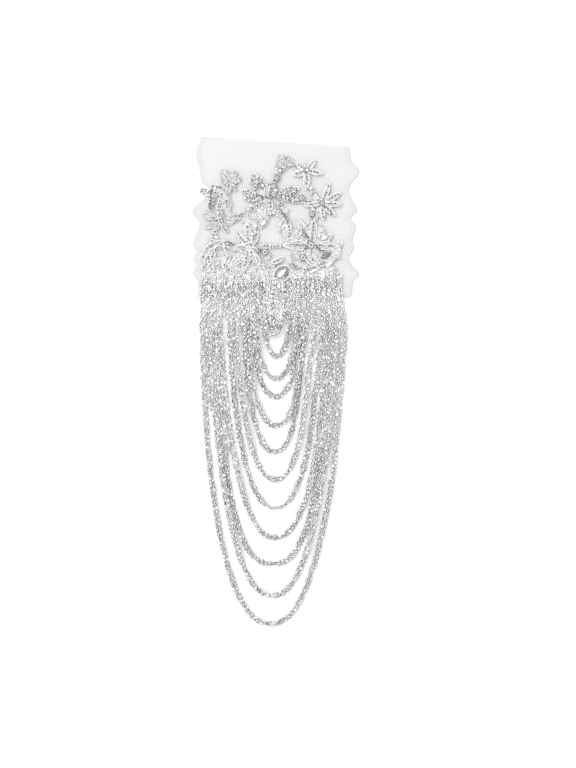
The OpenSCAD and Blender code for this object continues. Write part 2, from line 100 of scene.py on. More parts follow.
# Swags, shortest first. Columns: drop as a share of SWAG_DROP; low and top half width and the shift of the
# bottom as shares of SWAG_HALF_W; roundness; start and end of the climb onto the neighbours, 0 if none.
SWAGS = [
    [0.146, 0.170, 0.165, -0.02, 2.25, -1.00, -0.50],
    [0.212, 0.225, 0.235, 0.03, 2.00, 0, 0],
    [0.277, 0.320, 0.290, 0.02, 2.25, 0.03, 0.21],
    [0.330, 0.370, 0.350, 0.02, 2.25, 0, 0],
    [0.416, 0.430, 0.400, 0.02, 2.25, 0.00, 0.09],
    [0.493, 0.460, 0.455, 0.01, 2.25, 0, 0],
    [0.575, 0.540, 0.610, 0.01, 2.25, 0.06, 0.20],
    [0.658, 0.640, 0.670, 0.01, 2.25, 0, 0],
    [0.746, 0.730, 0.765, 0.01, 2.25, 0.08, 0.23],
    [0.823, 0.800, 0.850, -0.03, 2.60, 0, 0],
    [0.917, 0.840, 0.960, -0.03, 2.25, 0.06, 0.16],
    [1.000, 0.990, 1.015, -0.055, 2.25, 0, 0]]
SWAG_DROP = 237.3
SWAG_HALF_W = 49.5
SWAG_SHIFT = 0.8
SWAG_POWER = 2.15
DRAW_IN = 4.8
DRAW_REACH = 34.0
CLIMB_START = 44.0
CLIMB_END = 30.0
# Where a swag's two strands stand on edge, one over the other, and look thin. Columns: swag, distance from
# its middle, reach.
EDGE_ON = [[8, 1.0, 11.5]]
# How far a chain runs on up under the lace, past the end of its solid
CHAIN_ROOT = 9.0
# Where the strands of neighbouring swags spread until they fill the width between them. Columns: first and
# last swag, left (-1) or right (1) leg, height where the spread starts, height where it is whole, how far it
# stops short inside and outside.
SPREADS = [[9, 11, -1, -70, -30, 0.8, 0], [9, 12, -1, -30, -6, 1.0, 0], [9, 12, 1, -72, -40, -0.6, 0],
           [7, 8, -1, -5, 35, 0.2, 0.7], [7, 8, 1, -12, 8, -0.2, -0.6], [4, 6, -1, 4, 22, 0, 0.2],
           [4, 6, 1, 0, 20, 0, 0.2], [6, 8, -1, 26, 40, 0, 0.7], [6, 8, 1, 26, 42, 0, -0.6],
           [1, 12, -1, 40, 56, 0, 0], [1, 12, 1, 38, 54, 0, 0]]
# Legs that were pushed aside. Columns: swag, left (-1) or right (1) leg, height, reach, sideways move.
PUSHES = [[6, 1, -2, 36, -2.2], [7, 1, -2, 36, -1.9], [5, 1, 5, 26, -1.0], [8, 1, -8, 30, -0.8],
          [12, 1, -66, 26, 0.7]]

# Short swags of the bundle. Columns: drop, half width at the top, height above the net's lower layer.
BUNDLE = [[30.0, 6.0, 0.0], [24.0, 3.7, 0.0], [17.0, 1.4, 0.0], [27.0, 4.9, 0.9], [20.5, 2.6, 0.9]]

# Flowers. First row: x, y and number of the crystal in the centre or 0. Petal columns: angle, length, width,
# 1 if raised. All are in millimetres from the middle of the lace's lower edge.
FLOWERS = {
    "flower_left": [[-18.6, 23.1, 0], [
        [126, 15, 5.4, 1], [94, 18, 6, 1], [62, 13.5, 5.4, 1], [346, 7.2, 4, 1], [303, 15, 5.4, 1],
        [256, 16.5, 6, 1], [225, 19, 6, 1], [170, 19, 6.6, 1]]],
    "flower_right": [[24.9, 25.2, 1], [
        [84, 18.4, 6.6, 1], [117, 21, 6.6, 1], [180, 20, 7, 1], [212, 12, 5, 0], [276, 13, 6, 1],
        [330, 12, 5, 0], [358, 20, 6, 1], [25, 17, 8, 0]]],
    "flower_corner": [[-46.4, 13.3, 0], [
        [138, 8, 5, 1], [100, 8.5, 4.6, 1], [62, 8.5, 4.6, 1], [8, 9.9, 5, 1], [-68, 7.5, 4.6, 1],
        [225, 7.4, 4.6, 1]]],
    "star_top": [[22.1, 77.7, 11], [
        [52, 9.7, 3.8, 1], [-14, 11.5, 4.2, 1], [267, 14, 4.8, 1], [200, 10.5, 5.4, 1], [148, 9.4, 4.6, 1]]],
    "star_side": [[32.6, 54.6, 12], [
        [70, 16, 3.8, 1], [29, 15.8, 4.2, 1], [-4, 14, 4.4, 1], [-44, 13, 4, 1], [273, 12.4, 3.6, 1],
        [140, 7.5, 3.4, 1], [187, 13, 3.6, 1]]],
    "rosette_top": [[6, 83, 0], [
        [54, 5, 4.4, 1], [126, 6, 4.6, 1], [198, 6, 4.6, 1], [270, 4.6, 4.2, 1], [350, 7, 4.4, 1]]],
    "rosette_left": [[-32.6, 69.3, 0], [
        [118, 10, 6, 1], [57, 9.1, 6, 1], [16, 8.9, 5, 1], [160, 5.6, 4.2, 1], [-49, 7.4, 4.2, 1],
        [264, 9.4, 5, 1]]],
    "bud_spray": [[-13.7, 69.3, 0], [[96, 6.4, 5, 1], [165, 5, 3.8, 1], [40, 5, 3.8, 1]]],
}
# Leaves by node. Columns: x, y, angle, length, width, 1 if raised.
LEAVES = {
    "bud_spray": [[-13.4, 58.6, 152, 12, 4.4, 1], [-12.6, 56.8, 172, 10, 3.4, 1]],
    "inner_leaf": [[1.6, 59.6, 22, 16.6, 6.4, 1]],
    "crossing_leaves": [[7, 43.4, 238, 9.6, 4, 1], [8, 43.2, 283, 9.8, 4, 1],
                        [-5.3, 45.2, 233, 10.8, 5.6, 0]],
    "scroll_leaves": [[-40.6, 43.4, 159, 12, 5, 1], [-40.4, 40.6, 197, 10, 4.4, 1],
                      [-38, 40.6, 304, 8, 3.6, 1], [-35.2, 41.2, 30, 11.3, 5, 1],
                      [-34.8, 59.4, 278, 10.6, 6.8, 1]],
    "edge_leaves": [[-43, 59.9, 157, 11.4, 4, 1], [-43.5, 60.3, 255, 11.4, 4, 1], [-43.4, 60, 61, 9, 3.6, 1]],
    "lower_leaves": [[-8.8, 7.4, -68, 8.6, 5, 1], [6, 16.8, 205, 10, 4.4, 1], [11.4, 7.2, 275, 6.8, 3.2, 1],
                     [18.6, 6.4, 262, 6.4, 3.4, 1], [-32, 18.4, 240, 10.5, 4.6, 1],
                     [-28, 6.4, 262, 6.6, 3.8, 1], [-39.4, 7.6, 285, 7.6, 4, 1]],
}
# Raised stems by node: width, then points
STEMS = {
    "bud_spray": [[2.4, [[-13.7, 69], [-14.4, 63.5], [-13, 57.5]]]],
    "inner_leaf": [[2.6, [[1.4, 58.6], [8.2, 56.9], [14, 55.6]]]],
    "crossing_leaves": [[2.8, [[-4.6, 54.6], [0, 52.2], [3.4, 47.6], [7.6, 42.4]]],
                        [2.4, [[4.6, 55.4], [0, 52.2], [-3.2, 49.6], [-5.4, 45]]]],
    "scroll_leaves": [[3, [[-37, 58.8], [-39.9, 53.2], [-39.6, 45.4], [-37.8, 40]]]],
}
RAISED_STEMS = [stem for stems in STEMS.values() for stem in stems]
# Flat stems of the lace: width, then points
FLAT_STEMS = [
    [3, [[-35.4, 40], [-28, 42.6], [-22, 48.3], [-15, 51.8], [-8, 54.8], [-3.4, 56]]],
    [3.4, [[-5, 53], [-4.2, 59.5], [-3, 66.5], [0, 72.6], [3.2, 77.4], [6, 82]]],
    [3, [[7, 83], [12, 82.6], [17, 80]]],
    [3, [[14, 55.8], [19, 56.4], [25, 55.4], [31, 55]]],
    [3.4, [[24.4, 66], [26.8, 60], [31, 55.4]]],
    [3, [[26, 54], [25.8, 47], [26.4, 42]]],
    [3.6, [[-40.5, 40], [-43.8, 31], [-46, 20]]],
    [3.4, [[-50, 20.6], [-45.2, 24.8], [-38.2, 27], [-32, 26.4]]],
    [3, [[-16, 20], [-9, 12], [-6, 10], [1, 10]]],
    [2.4, [[10.2, 13.3], [15.8, 9.3], [23, 8.4], [31, 12.2]]],
    [3, [[-38, 46], [-37, 52], [-36.4, 58]]],
    [3, [[-37, 60], [-40, 61.6], [-43, 60]]],
    [3, [[-8.4, 66.8], [-5, 67.4], [-2, 68]]],
    [3.4, [[-33.4, 12], [-36, 9.4], [-41, 10.6], [-46, 13]]],
    [3, [[-20, 6.4], [-27, 6.6], [-34, 8.6]]],
    [3, [[8, 42], [9.6, 34], [8, 26]]],
    [3.4, [[26, 14], [29.6, 10.4], [33.4, 9.4], [37, 12]]],
    [2.6, [[-9, 25.6], [-3, 24.4], [5, 25]]]]
# Ground of fine stitches between the flowers. Columns: x and y of its two ends, half width.
GROUND = [
    [-20, 44, -6, 50, 4], [-6, 50, 8, 48, 3], [-18, 34, -14, 44, 3], [-36, 14, -28, 8, 5],
    [-46, 20, -42, 30, 2.5], [-18, 8, 4, 4, 5], [14, 30, 30, 34, 5], [16, 20, 40, 20, 6],
    [38, 14, 44, 26, 3], [14, 6, 38, 6, 5],
    [-46, 4, -16, 3, 5], [2, 78, 10, 84, 3], [-12, 60, -4, 66, 3], [28, 46, 36, 54, 3], [-34, 50, -30, 44, 2],
    [-40, 64, -34, 60, 2], [-10, 24, -6, 18, 3], [5.6, 38.6, 9.6, 29, 3]]
# Windows of bare net inside the ground. Columns: x, y, radius.
WINDOWS = [
    [-26, 50, 5.5], [-33, 19.5, 3], [-15.5, 46, 3], [-1.6, 31.5, 6], [3.6, 19.5, 4], [15.8, 60.5, 4.6],
    [13.4, 47, 5], [15.6, 11.6, 3.6], [8.4, 69, 4], [41, 42, 5], [-32, 32, 2.6]]

# Round crystals. Columns: x and y as above, diameter.
ROUND_CRYSTALS = [
    [24.9, 25.2, 4.40], [19.2, 16.6, 3.96], [18.4, 58.2, 3.43], [25.6, 46.9, 3.43], [-1.2, 60.9, 3.61],
    [-1, 66.4, 3.08], [1, 71.9, 3.08], [-7.4, 20.3, 3.96], [3.2, 77.2, 2.64], [-9, 66.8, 2.64],
    [22.1, 77.7, 2.64], [32.6, 54.6, 2.90]]
# Navettes. Columns: x, y, angle, length, width, lightness from 0 to 1, a painted reflection of what the stone
# mirrors.
NAVETTES = [
    [37.6, 12.2, 50, 7.02, 2.81, 0.9], [33.3, 4.2, 90, 9.00, 3.04, 0.9], [27, 7.4, 30, 6.30, 2.43, 0.8],
    [35.2, 18, 28, 8.28, 3.80, 0.4], [34.2, 30.4, 30, 6.48, 2.96, 0.75], [-8.4, 40.8, 233, 6.48, 3.04, 0.75]]
# The pear. Columns: x, y, angle, length, width.
PEAR = [4.4, 5.6, 45, 9.0, 6.0]
# Height of a stone as a share of its width, and how high a set stone sits above the raised petals
STONE_RISE = 0.42
SET_RISE = 0.47
# Raised white cords. Columns: x and y of the start, the middle and the end.
CORDS = [
    [-24.9, 32.2, -22, 30, -20, 28], [-29, 24, -20, 26.4, -15, 27.4], [-20.6, 20.3, -26, 15, -31.2, 10.5],
    [-9.5, 9.8, -6.4, 7.4, -4, -0.7], [26.3, 6.3, 29, 8.6, 31.2, 9.8], [19.3, 37.1, 21.6, 39.8, 23.5, 42],
    [10, 27.4, 17, 28.4, 22, 26.4], [-44, 20, -40, 26, -34, 28.4], [-36, 12, -34, 18, -36, 23],
    [20, 17, 24, 12, 30, 10], [-7, 66, -8, 60, -6, 54], [26, 20, 28, 16, 31, 12], [-16, 22, -13, 14, -8, 11],
    [-53, 16, -46, 26, -35.4, 29], [-50, 14, -44.6, 22.6, -36, 25.4]]
# Cord round the pear. Columns: x, y, angle, half length, half width.
CORD_ROUND_PEAR = [4.6, 5.2, 45, 6.8, 5.0]
# How each motif's petals are beaded: rows of beads across a petal, share of the places that hold one
BEADING = {
    "edge_leaves": (2, 0.9), "bud_spray": (2, 0.9), "inner_leaf": (3, 0.95), "crossing_leaves": (1, 0.95),
    "star_top": (1, 0.7), "star_side": (1, 0.6), "flower_left": (1, 0.6), "flower_right": (1, 0.8),
    "scroll_leaves": (1, 0.35), "rosette_top": (1, 0.2), "rosette_left": (1, 0.2), "flower_corner": (1, 0.6),
    "lower_leaves": (1, 0.6)}
# Motifs drawn greyer than the rest: tone of their cords, tone of their satin
MOTIF_TONES = {"rosette_top": (0.6, 0.75), "rosette_left": (0.6, 0.75), "scroll_leaves": (0.85, 0.6),
        "flower_corner": (0.9, 0.75), "flower_left": (1.0, 0.68), "flower_right": (1.0, 0.74)}
# Rows of ring sequins, and rows of dark silver-lined beads. Columns: x and y of the two ends.
RING_ROWS = [
    [-27, 46.6, -15.6, 53.4], [-2.4, 60.2, 19.6, 56.2], [-0.6, 62, 3.8, 78], [23.6, 66, 30.4, 56.6],
    [-40, 22, -32, 27], [14.6, 36.8, 22, 28], [-13, 40, -17, 31], [26.4, 52, 26, 45.6], [-6, 58, -4, 46]]
BEAD_ROWS = [
    [-13.6, 21.7, -5.3, 19.6], [-13, 22.8, -7, 21], [-36, 27.3, -29.8, 26.6], [-44.4, 67.2, -45.8, 49.7],
    [-14, 60, -4, 58], [26, 30, 20, 22], [17, 32, 23, 30], [-1, 60, 14, 58.6], [28, 24, 34.6, 20.6],
    [20, 35, 22.4, 31], [5.6, 47, 9.4, 41], [3, 51, 8, 44], [34, 53, 40, 46.5]]


def length(name, about, default):
    """A size in the panel, in metres"""
    return bpy.props.FloatProperty(name=name, description=about, default=default, unit="LENGTH")


def paint(name, about, default):
    """A colour in the panel, as an sRGB hex value"""
    return bpy.props.StringProperty(name=name, description="Colour of " + about, default=default)


class EpauletteSizes(bpy.types.PropertyGroup):
    """Sizes that a user would change"""

    link_pitch: length("Link pitch", "Distance between two cups of the chain", 0.0031)
    cup_width: length("Cup width", "Width of one cup of the chain", 0.0027)
    strand_gap: length("Strand spacing", "Distance between a swag's two strands, side by side", 0.0022)
    bead_width: length("Bead width", "Width of a seed bead", 0.0019)
    sequin_width: length("Sequin width", "Width of a ring sequin", 0.0027)
    cord_width: length("Cord width", "Width of the cord round a petal", 0.0009)
    tulle_hole: length("Net hole", "Width of one hole of the net", 0.0016)


class EpauletteColours(bpy.types.PropertyGroup):
    """Colours that a user would change"""

    net: paint("Net", "the net's thread", "f0f0f2")
    net_edge: paint("Net edge", "the net's borders", "dddde0")
    thread: paint("Thread", "the embroidery", "fcfcfc")
    plating: paint("Plating", "the silver plating", "98969b")
    floor: paint("Floor", "the floor", "ffffff")


def srgb(code):
    """Linear colour of an sRGB hex value: a channel is c / 12.92 if dark, else ((c + 0.055) / 1.055) ^ 2.4"""
    channels = [int(code[i:i + 2], 16) / 255 for i in (0, 2, 4)]
    return [c / 12.92 if c <= 0.04045 else ((c + 0.055) / 1.055) ** 2.4 for c in channels] + [1.0]


def add_node(tree, kind, inputs=None, **settings):
    """Adds a node, sets its properties, and sets each input or links it"""
    node = tree.nodes.new(kind)
    for key, value in settings.items():
        setattr(node, key, value)
    for key, value in (inputs or {}).items():
        if isinstance(value, bpy.types.NodeSocket):
            tree.links.new(value, node.inputs[key])
        else:
            node.inputs[key].default_value = value
    return node


def new_material(name):
    """An empty material and its tree"""
    material = bpy.data.materials.new(name)
    material.use_nodes = True
    material.node_tree.nodes.clear()
    return material, material.node_tree


def finished(material, looks):
    """Gives the material a shader with these inputs, and returns it"""
    shader = add_node(material.node_tree, "ShaderNodeBsdfPrincipled", looks)
    add_node(material.node_tree, "ShaderNodeOutputMaterial", {"Surface": shader.outputs[0]})
    return material


def object_place(tree):
    """The place in the piece's own axes"""
    return add_node(tree, "ShaderNodeTexCoord").outputs["Object"]


def face_tone(tree):
    """The face's own tone, from 0 to 1"""
    node = add_node(tree, "ShaderNodeAttribute", attribute_name="tone", attribute_type="GEOMETRY")
    return node.outputs["Fac"]


def ramp(tree, share, *stops):
    """Colour by a share from 0 to 1; stops are (place, hex)"""
    node = add_node(tree, "ShaderNodeValToRGB", {"Fac": share})
    elements = node.color_ramp.elements
    while len(elements) < len(stops):
        elements.new(0.5)
    for element, (place, code) in zip(elements, stops):
        element.position = place
        element.color = srgb(code)
    return node.outputs["Color"]


def toned_material(name, stops, looks):
    """Material whose colour goes by the face's tone"""
    material, tree = new_material(name)
    return finished(material, {"Base Color": ramp(tree, face_tone(tree), *stops), **looks})


def plated_cups():
    """Stamped brass cups with silver plating: bright metal, with painted shade that greys the cup walls and
    bars
    """
    return toned_material("silver_plated_brass", [(0.0, "5a585c"), (0.45, "c6c4c8"), (1.0, "ffffff")],
                          {"Metallic": 1.0, "Roughness": 0.32})


def foiled_crystal():
    """Cut lead-free glass with a foiled back: each facet shows its own part of the room, light or dark, and
    its tone paints that as a painted reflection
    """
    return toned_material(
        "foil_backed_glass", [(0.0, "3c3a3e"), (0.5, "7a787c"), (0.72, "f0eff1"), (1.0, "faf9fa")],
        {"Metallic": 0.35, "Roughness": 0.22, "IOR": 1.52, "Coat Weight": 0.7, "Coat Roughness": 0.05})


def silver_beads():
    """Silver-lined glass seed beads and cup sequins: small bright and dark points, which the tones of their
    parts paint as highlights and shade
    """
    return toned_material("silver_lined_glass", [(0.0, "38363a"), (0.4, "b2b0b4"), (1.0, "ffffff")],
                          {"Metallic": 0.6, "Roughness": 0.18, "IOR": 1.5})


def embroidery_thread(colours):
    """Rayon thread in satin stitch and cord: a soft gloss, with fine shaded valleys between stitches. Cords
    are white, and the satin between them is a little greyer, as painted shade between the raised cords."""
    material, tree = new_material("rayon_embroidery")
    # Stitches of 0.35 mm thread, drawn 1.1 mm wide to show in the picture
    cells = add_node(tree, "ShaderNodeTexVoronoi", {"Vector": object_place(tree), "Scale": 900.0},
                     voronoi_dimensions="2D", feature="F1").outputs["Distance"]
    tone = ramp(tree, face_tone(tree), (0.0, "7f7f84"), (0.5, "bcbcc0"), (1.0, colours.thread))
    valley = ramp(tree, cells, (0.15, "ffffff"), (0.8, "a6a6aa"))
    both = add_node(tree, "ShaderNodeMix", {"Factor": 0.6, 6: tone, 7: valley},
                    data_type="RGBA", blend_type="MULTIPLY")
    bump = add_node(tree, "ShaderNodeBump", {"Height": cells, "Strength": 0.6, "Distance": 0.0002},
                    invert=True)
    return finished(material, {"Base Color": both.outputs[2], "Roughness": 0.42,
                               "Normal": bump.outputs["Normal"], "Sheen Weight": 0.3})


def tulle(colours, sizes):
    """Nylon tulle: a fine net of six-sided holes, so what is under it shows; denser at its cut edges, where
    its greyer colour is partly painted shade
    """
    material, tree = new_material("nylon_tulle")
    # One cell for each hole of the net. Holes of about 1 mm, drawn wider to show in the picture.
    cells = add_node(tree, "ShaderNodeTexVoronoi", {
        "Vector": object_place(tree), "Scale": 1 / sizes.tulle_hole, "Randomness": 0.35},
        voronoi_dimensions="2D", feature="DISTANCE_TO_EDGE")
    thread = add_node(tree, "ShaderNodeMapRange", {
        "Value": cells.outputs["Distance"], "From Min": 0.12, "From Max": 0.3, "To Min": 0.6, "To Max": 0.54})
    edge = face_tone(tree)
    dense = add_node(tree, "ShaderNodeMath", {0: thread.outputs["Result"], 1: edge},
                     operation="ADD", use_clamp=True)
    return finished(material, {"Base Color": ramp(tree, edge, (0.0, colours.net), (0.35, colours.net_edge)),
                               "Roughness": 0.6, "Alpha": dense.outputs["Value"]})


def plated_metal(colours):
    """Pressed brass collets with silver plating: worn dull in small patches, which are greyer and rougher"""
    material, tree = new_material("silver_plated_collet")
    # Patches of about 1 mm
    wear = add_node(tree, "ShaderNodeTexNoise", {"Vector": object_place(tree), "Scale": 900.0, "Detail": 2.0})
    rough = add_node(tree, "ShaderNodeMapRange", {"Value": wear.outputs["Fac"], "To Min": 0.5, "To Max": 0.2})
    # The plating is painted darker than bright silver, as painted shade that draws a dark ring round each
    # stone; the darker patches are wear
    colour = ramp(tree, wear.outputs["Fac"], (0.35, "5f5d62"), (0.65, colours.plating))
    return finished(material, {"Base Color": colour, "Metallic": 1.0, "Roughness": rough.outputs["Result"]})


def painted_floor(colours):
    """White lacquered board: plain, matt"""
    material, _ = new_material("white_lacquered_board")
    return finished(material, {"Base Color": srgb(colours.floor), "Roughness": 0.7})


def grid_faces(rows, columns, wrap=False):
    """Quads of a grid of rows by columns; with wrap, its last column joins its first"""
    i, j = np.meshgrid(np.arange(rows - 1), np.arange(columns if wrap else columns - 1), indexing="ij")
    k = (j + 1) % columns
    return np.stack([i * columns + j, i * columns + k, (i + 1) * columns + k, (i + 1) * columns + j],
                    axis=-1).reshape(-1, 4)


def tube_faces(rings, sides):
    """Quads of a tube of rings, and its two caps"""
    return [grid_faces(rings, sides, True),
            np.array([np.arange(sides)[::-1], (rings - 1) * sides + np.arange(sides)])]


def around(sides):
    """Angles of even steps round a circle"""
    return np.arange(sides) * 2 * np.pi / sides


def lathe(profile, sides):
    """Surface of revolution: point = (r cos a, r sin a, z) for each (r, z) of the profile, ends closed"""
    r, z = np.array(profile, float).T
    a = around(sides)
    points = np.stack([np.outer(r, np.cos(a)), np.outer(r, np.sin(a)), np.repeat(z[:, None], sides, 1)], -1)
    return points.reshape(-1, 3), tube_faces(len(r), sides)


def box_points(low, high):
    """Closed box from its lowest to its highest corner"""
    share = np.stack(np.meshgrid([0, 1], [0, 1], [0, 1], indexing="ij"), -1).reshape(-1, 3)
    faces = np.array([[0, 1, 3, 2], [4, 6, 7, 5], [0, 4, 5, 1], [2, 3, 7, 6], [0, 2, 6, 4], [1, 5, 7, 3]])
    return np.array(low) + share * (np.array(high) - np.array(low)), [faces]


def joined(parts):
    """Several (points, [(face arrays, slot, tone)]) as one template: all the points, (faces, slot, tone)"""
    points, groups, first = [], [], 0
    for part_points, part_groups in parts:
        groups += [(f + first, slot, tone) for faces, slot, tone in part_groups for f in faces]
        points.append(part_points)
        first += len(part_points)
    return np.concatenate(points), groups


def one_tone(shape, tone):
    """A shape of (points, face arrays) as a batch of one tone"""
    return shape[0], [(faces, 0, tone) for faces in shape[1]]


def repeated(template, places, frames, rng, lift=0.0, calm=0.0):
    """The template at every place: point = place + frame times local point. A tone is one value for the
    group's faces, or None for a random one on each face, more often dark. Copy by copy, calm is the share by
    which it is drawn toward MIDDLE_TONE, and lift is added to it. For a random one both act by
    RANDOM_SHARE."""
    points, groups = template
    count = len(places)
    out = places[:, None, :] + np.einsum("nij,pj->npi", frames, points)
    first = np.arange(count)[:, None, None] * len(points)
    calm, lift = (np.broadcast_to(value, count)[:, None] for value in (calm, lift))
    batch = []
    for faces, slot, tone in groups:
        shape = (count, len(faces))
        tones = rng.random(shape) ** 2 if tone is None else tone + 0.12 * rng.standard_normal(shape)
        share = RANDOM_SHARE if tone is None else 1.0
        tones = tones + (MIDDLE_TONE - tones) * share * calm
        tones = np.clip(tones + share * lift, 0, 1)
        batch.append(((first + faces[None]).reshape(-1, faces.shape[1]), slot, tones.ravel()))
    return out.reshape(-1, 3), batch


def new_object(name, data):
    """An object of this mesh, lamp or camera, in the scene"""
    made = bpy.data.objects.new(name, data)
    bpy.context.scene.collection.objects.link(made)
    return made


def make_piece(name, batches, materials, nodes=(), smooth=False):
    """Puts batches of (points in mm, [(faces, material number, tones)]) into one mesh, riding on the root"""
    corners, sizes, numbers, tones = [], [], [], []
    first = 0
    for points, groups in batches:
        for faces, number, tone in groups:
            count, size = faces.shape
            corners.append((faces + first).ravel())
            sizes.append(np.full(count, size))
            numbers.append(np.full(count, number))
            tones.append(np.broadcast_to(tone, count))
        first += len(points)
    points = np.concatenate([points for points, _ in batches])
    corners, sizes, numbers, tones = map(np.concatenate, (corners, sizes, numbers, tones))
    mesh = bpy.data.meshes.new(name)
    mesh.vertices.add(len(points))
    mesh.loops.add(len(corners))
    mesh.polygons.add(len(sizes))
    for items, key, values, kind in (
            (mesh.vertices, "co", points * MM, np.float32),
            (mesh.loops, "vertex_index", corners, np.int32),
            (mesh.polygons, "loop_start", np.cumsum(sizes) - sizes, np.int32),
            (mesh.polygons, "material_index", numbers, np.int32),
            (mesh.polygons, "use_smooth", np.full(len(sizes), smooth), bool)):
        items.foreach_set(key, values.astype(kind).ravel())
    mesh.update(calc_edges=True)
    mesh.attributes.new("tone", "FLOAT", "FACE").data.foreach_set("value", tones.astype(np.float32))
    for material in materials:
        mesh.materials.append(material)
    piece = new_object(name, mesh)
    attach(piece, "root")
    if nodes:
        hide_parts(*nodes)
    return piece


def ease(x, a, b):
    """Smooth step from 0 at a to 1 at b: 3 t^2 - 2 t^3"""
    t = np.clip((x - a) / (b - a), 0, 1)
    return t * t * (3 - 2 * t)


def unit(vectors):
    """The vectors at a length of 1"""
    return vectors / np.maximum(np.linalg.norm(vectors, axis=-1, keepdims=True), 1e-9)


def at_height(flat, z):
    """Flat points at a height, which is one value or a column of values"""
    return np.concatenate([flat, np.broadcast_to(z, (len(flat), 1))], 1)


def run_along(path):
    """Length of the path up to each of its points"""
    return np.concatenate([[0], np.cumsum(np.linalg.norm(np.diff(path, axis=0), axis=1))])


def spaced(path, step):
    """The path at even steps of its length, by linear interpolation"""
    run = run_along(path)
    count = max(2, int(run[-1] / step))
    at = (np.arange(count) + 0.5) * run[-1] / count
    return np.stack([np.interp(at, run, column) for column in path.T], -1)


def path_frames(path):
    """Frames along a path: tangent, side (level, to its left) and the third square to both, as columns"""
    tangent = unit(np.gradient(path, axis=0))
    side = unit(np.stack([-tangent[:, 1], tangent[:, 0], np.zeros(len(path))], -1))
    return tangent, side, np.cross(tangent, side)


def sweep(path, wide, high):
    """Closed tube: point = path + wide to the side + high up, for each point of the section"""
    _, side, up = path_frames(path)
    points = path[:, None] + side[:, None] * wide[..., None] + up[:, None] * high[..., None]
    return points.reshape(-1, 3), tube_faces(len(path), wide.shape[-1])


def wander(rng, run, wave, size):
    """Smooth random curve along a run: three sines of unlike length and random phase, seldom beyond size"""
    out = np.zeros_like(run)
    for k in (1.0, 0.61, 0.37):
        out += np.sin(2 * np.pi * (run / (wave * k) + rng.random())) * math.sqrt(k)
    return size * out / 1.9


def leg_x(row, leg, y):
    """Sideways place of a swag's left (-1) or right (1) leg at a height: a superellipse whose half width
    grows with the square of the height above its bottom, drawn in at the top right"""
    v = np.clip(1 - (CHAIN_Y0 - y) / (SWAG_DROP * row[0]), 0, 1)
    half = SWAG_HALF_W * (row[1] + (row[2] - row[1]) * v * v)
    wide = leg * half * (1 - (1 - v) ** SWAG_POWER) ** (1 / row[4]) + SWAG_HALF_W * row[3] * (1 - v * v)
    drawn = DRAW_IN * np.maximum(0, wide) / SWAG_HALF_W * ease(y, CHAIN_Y0 - DRAW_REACH, CHAIN_Y0)
    return wide - SWAG_SHIFT - drawn


def ground_height(y):
    """Height that the lower layer of chains lies at: 0 on the floor, easing to NET_LIFT on the net"""
    return NET_LIFT * ease(y, NET_Y0 - CLIMB_START, NET_Y0 - CLIMB_END)


def swag_curve(row, count=1200):
    """Centre line of a swag on the surface that it lies on: point = (x, y, rise). Each leg runs on straight
    under the lace."""
    a = np.pi / 2 * np.linspace(-1, 1, count)
    v = 1 - np.clip(np.cos(a), 0, 1) ** (2 / SWAG_POWER)
    y = CHAIN_Y0 - SWAG_DROP * row[0] * (1 - v)
    x = leg_x(row, np.sign(a), y)
    base = ground_height(y)
    if row[6] != 0:
        base = base + PILE_LIFT * ease(v, row[5], row[6])
    up = np.linspace(0, 1, 40)[1:]
    ends = []
    for k in (0, -1):
        root_z = NET_LIFT + (base[k] - NET_LIFT) * (1 - ease(up, 0, 0.7))
        ends.append(np.stack([np.full_like(up, x[k]), CHAIN_Y0 + CHAIN_ROOT * up, root_z], -1))
    return np.concatenate([ends[0][::-1], np.stack([x, y, base], -1), ends[1]])


def spread(number, curve, inner, half):
    """How far a strand of a swag moves sideways where swags crowd, and how much its pair opens there: its
    place goes to an even share of the width from the group's innermost strand to its outermost. A push is
    added as move times exp(-((height - its height) / reach)^2)."""
    leg = np.where(np.arange(len(curve)) < len(curve) / 2, -1, 1)
    y = curve[:, 1]
    own = leg_x(SWAGS[number - 1], leg, y) + leg * (-half if inner else half)
    x, opened = own.copy(), np.zeros_like(y)
    for first, last, spread_leg, start, whole, short_in, short_out in SPREADS:
        if first <= number <= last:
            low = leg_x(SWAGS[first - 1], leg, y) - leg * (half - short_in)
            high = leg_x(SWAGS[last - 1], leg, y) + leg * (half - short_out)
            share = (2 * (number - first) + (0 if inner else 1)) / (2 * (last - first) + 1)
            weight = (leg == spread_leg) * ease(y, start, whole)
            x += (low + (high - low) * share - x) * weight
            opened = np.maximum(opened, weight)
    for swag, push_leg, height, reach, move in PUSHES:
        if swag == number:
            x += (leg == push_leg) * move * np.exp(-((y - height) / reach) ** 2)
    return x - own, opened


def strand_path(curve, side, turn, sizes, rng, moved, opened, edge):
    """Path and roll of one strand of a swag. The two strands turn round each other: one lies beside the other
    where turn is 0 and on it where turn is a quarter. Each strand also rolls on its own axis, and stands on
    edge where edge is 1. Where opened is 1, all lie in one layer, every second one a little higher."""
    run = run_along(curve)
    flat = curve * [1, 1, 0]
    turn = turn * (1 - opened)
    roll = wander(rng, run, 22, 1.0) * (1 - 0.5 * np.abs(np.sin(turn))) + opened * wander(rng, run, 13, 0.8)
    roll = roll * (1 - edge) + EDGE_ROLL * edge
    turn = turn * (1 - edge) + np.pi / 2 * edge
    half = sizes.strand_gap / MM / 2
    path = flat + path_frames(flat)[1] * (half * side * (np.cos(turn) + 0.12 * np.sin(3 * turn)))[:, None]
    path[:, 0] += moved + wander(rng, run, 21, 0.25) + opened * wander(rng, run, 9, 0.45)
    ground = ground_height(curve[:, 1])
    path[:, 2] = ground + (curve[:, 2] - ground) * (1 - opened) + (CUP_HALF_H + 0.5 * np.abs(np.sin(roll)))
    path[:, 2] += (opened * 0.9 + edge * 1.2) * (side > 0) + PAIR_STEP * np.clip(side * np.sin(turn), 0, 1)
    return path, roll


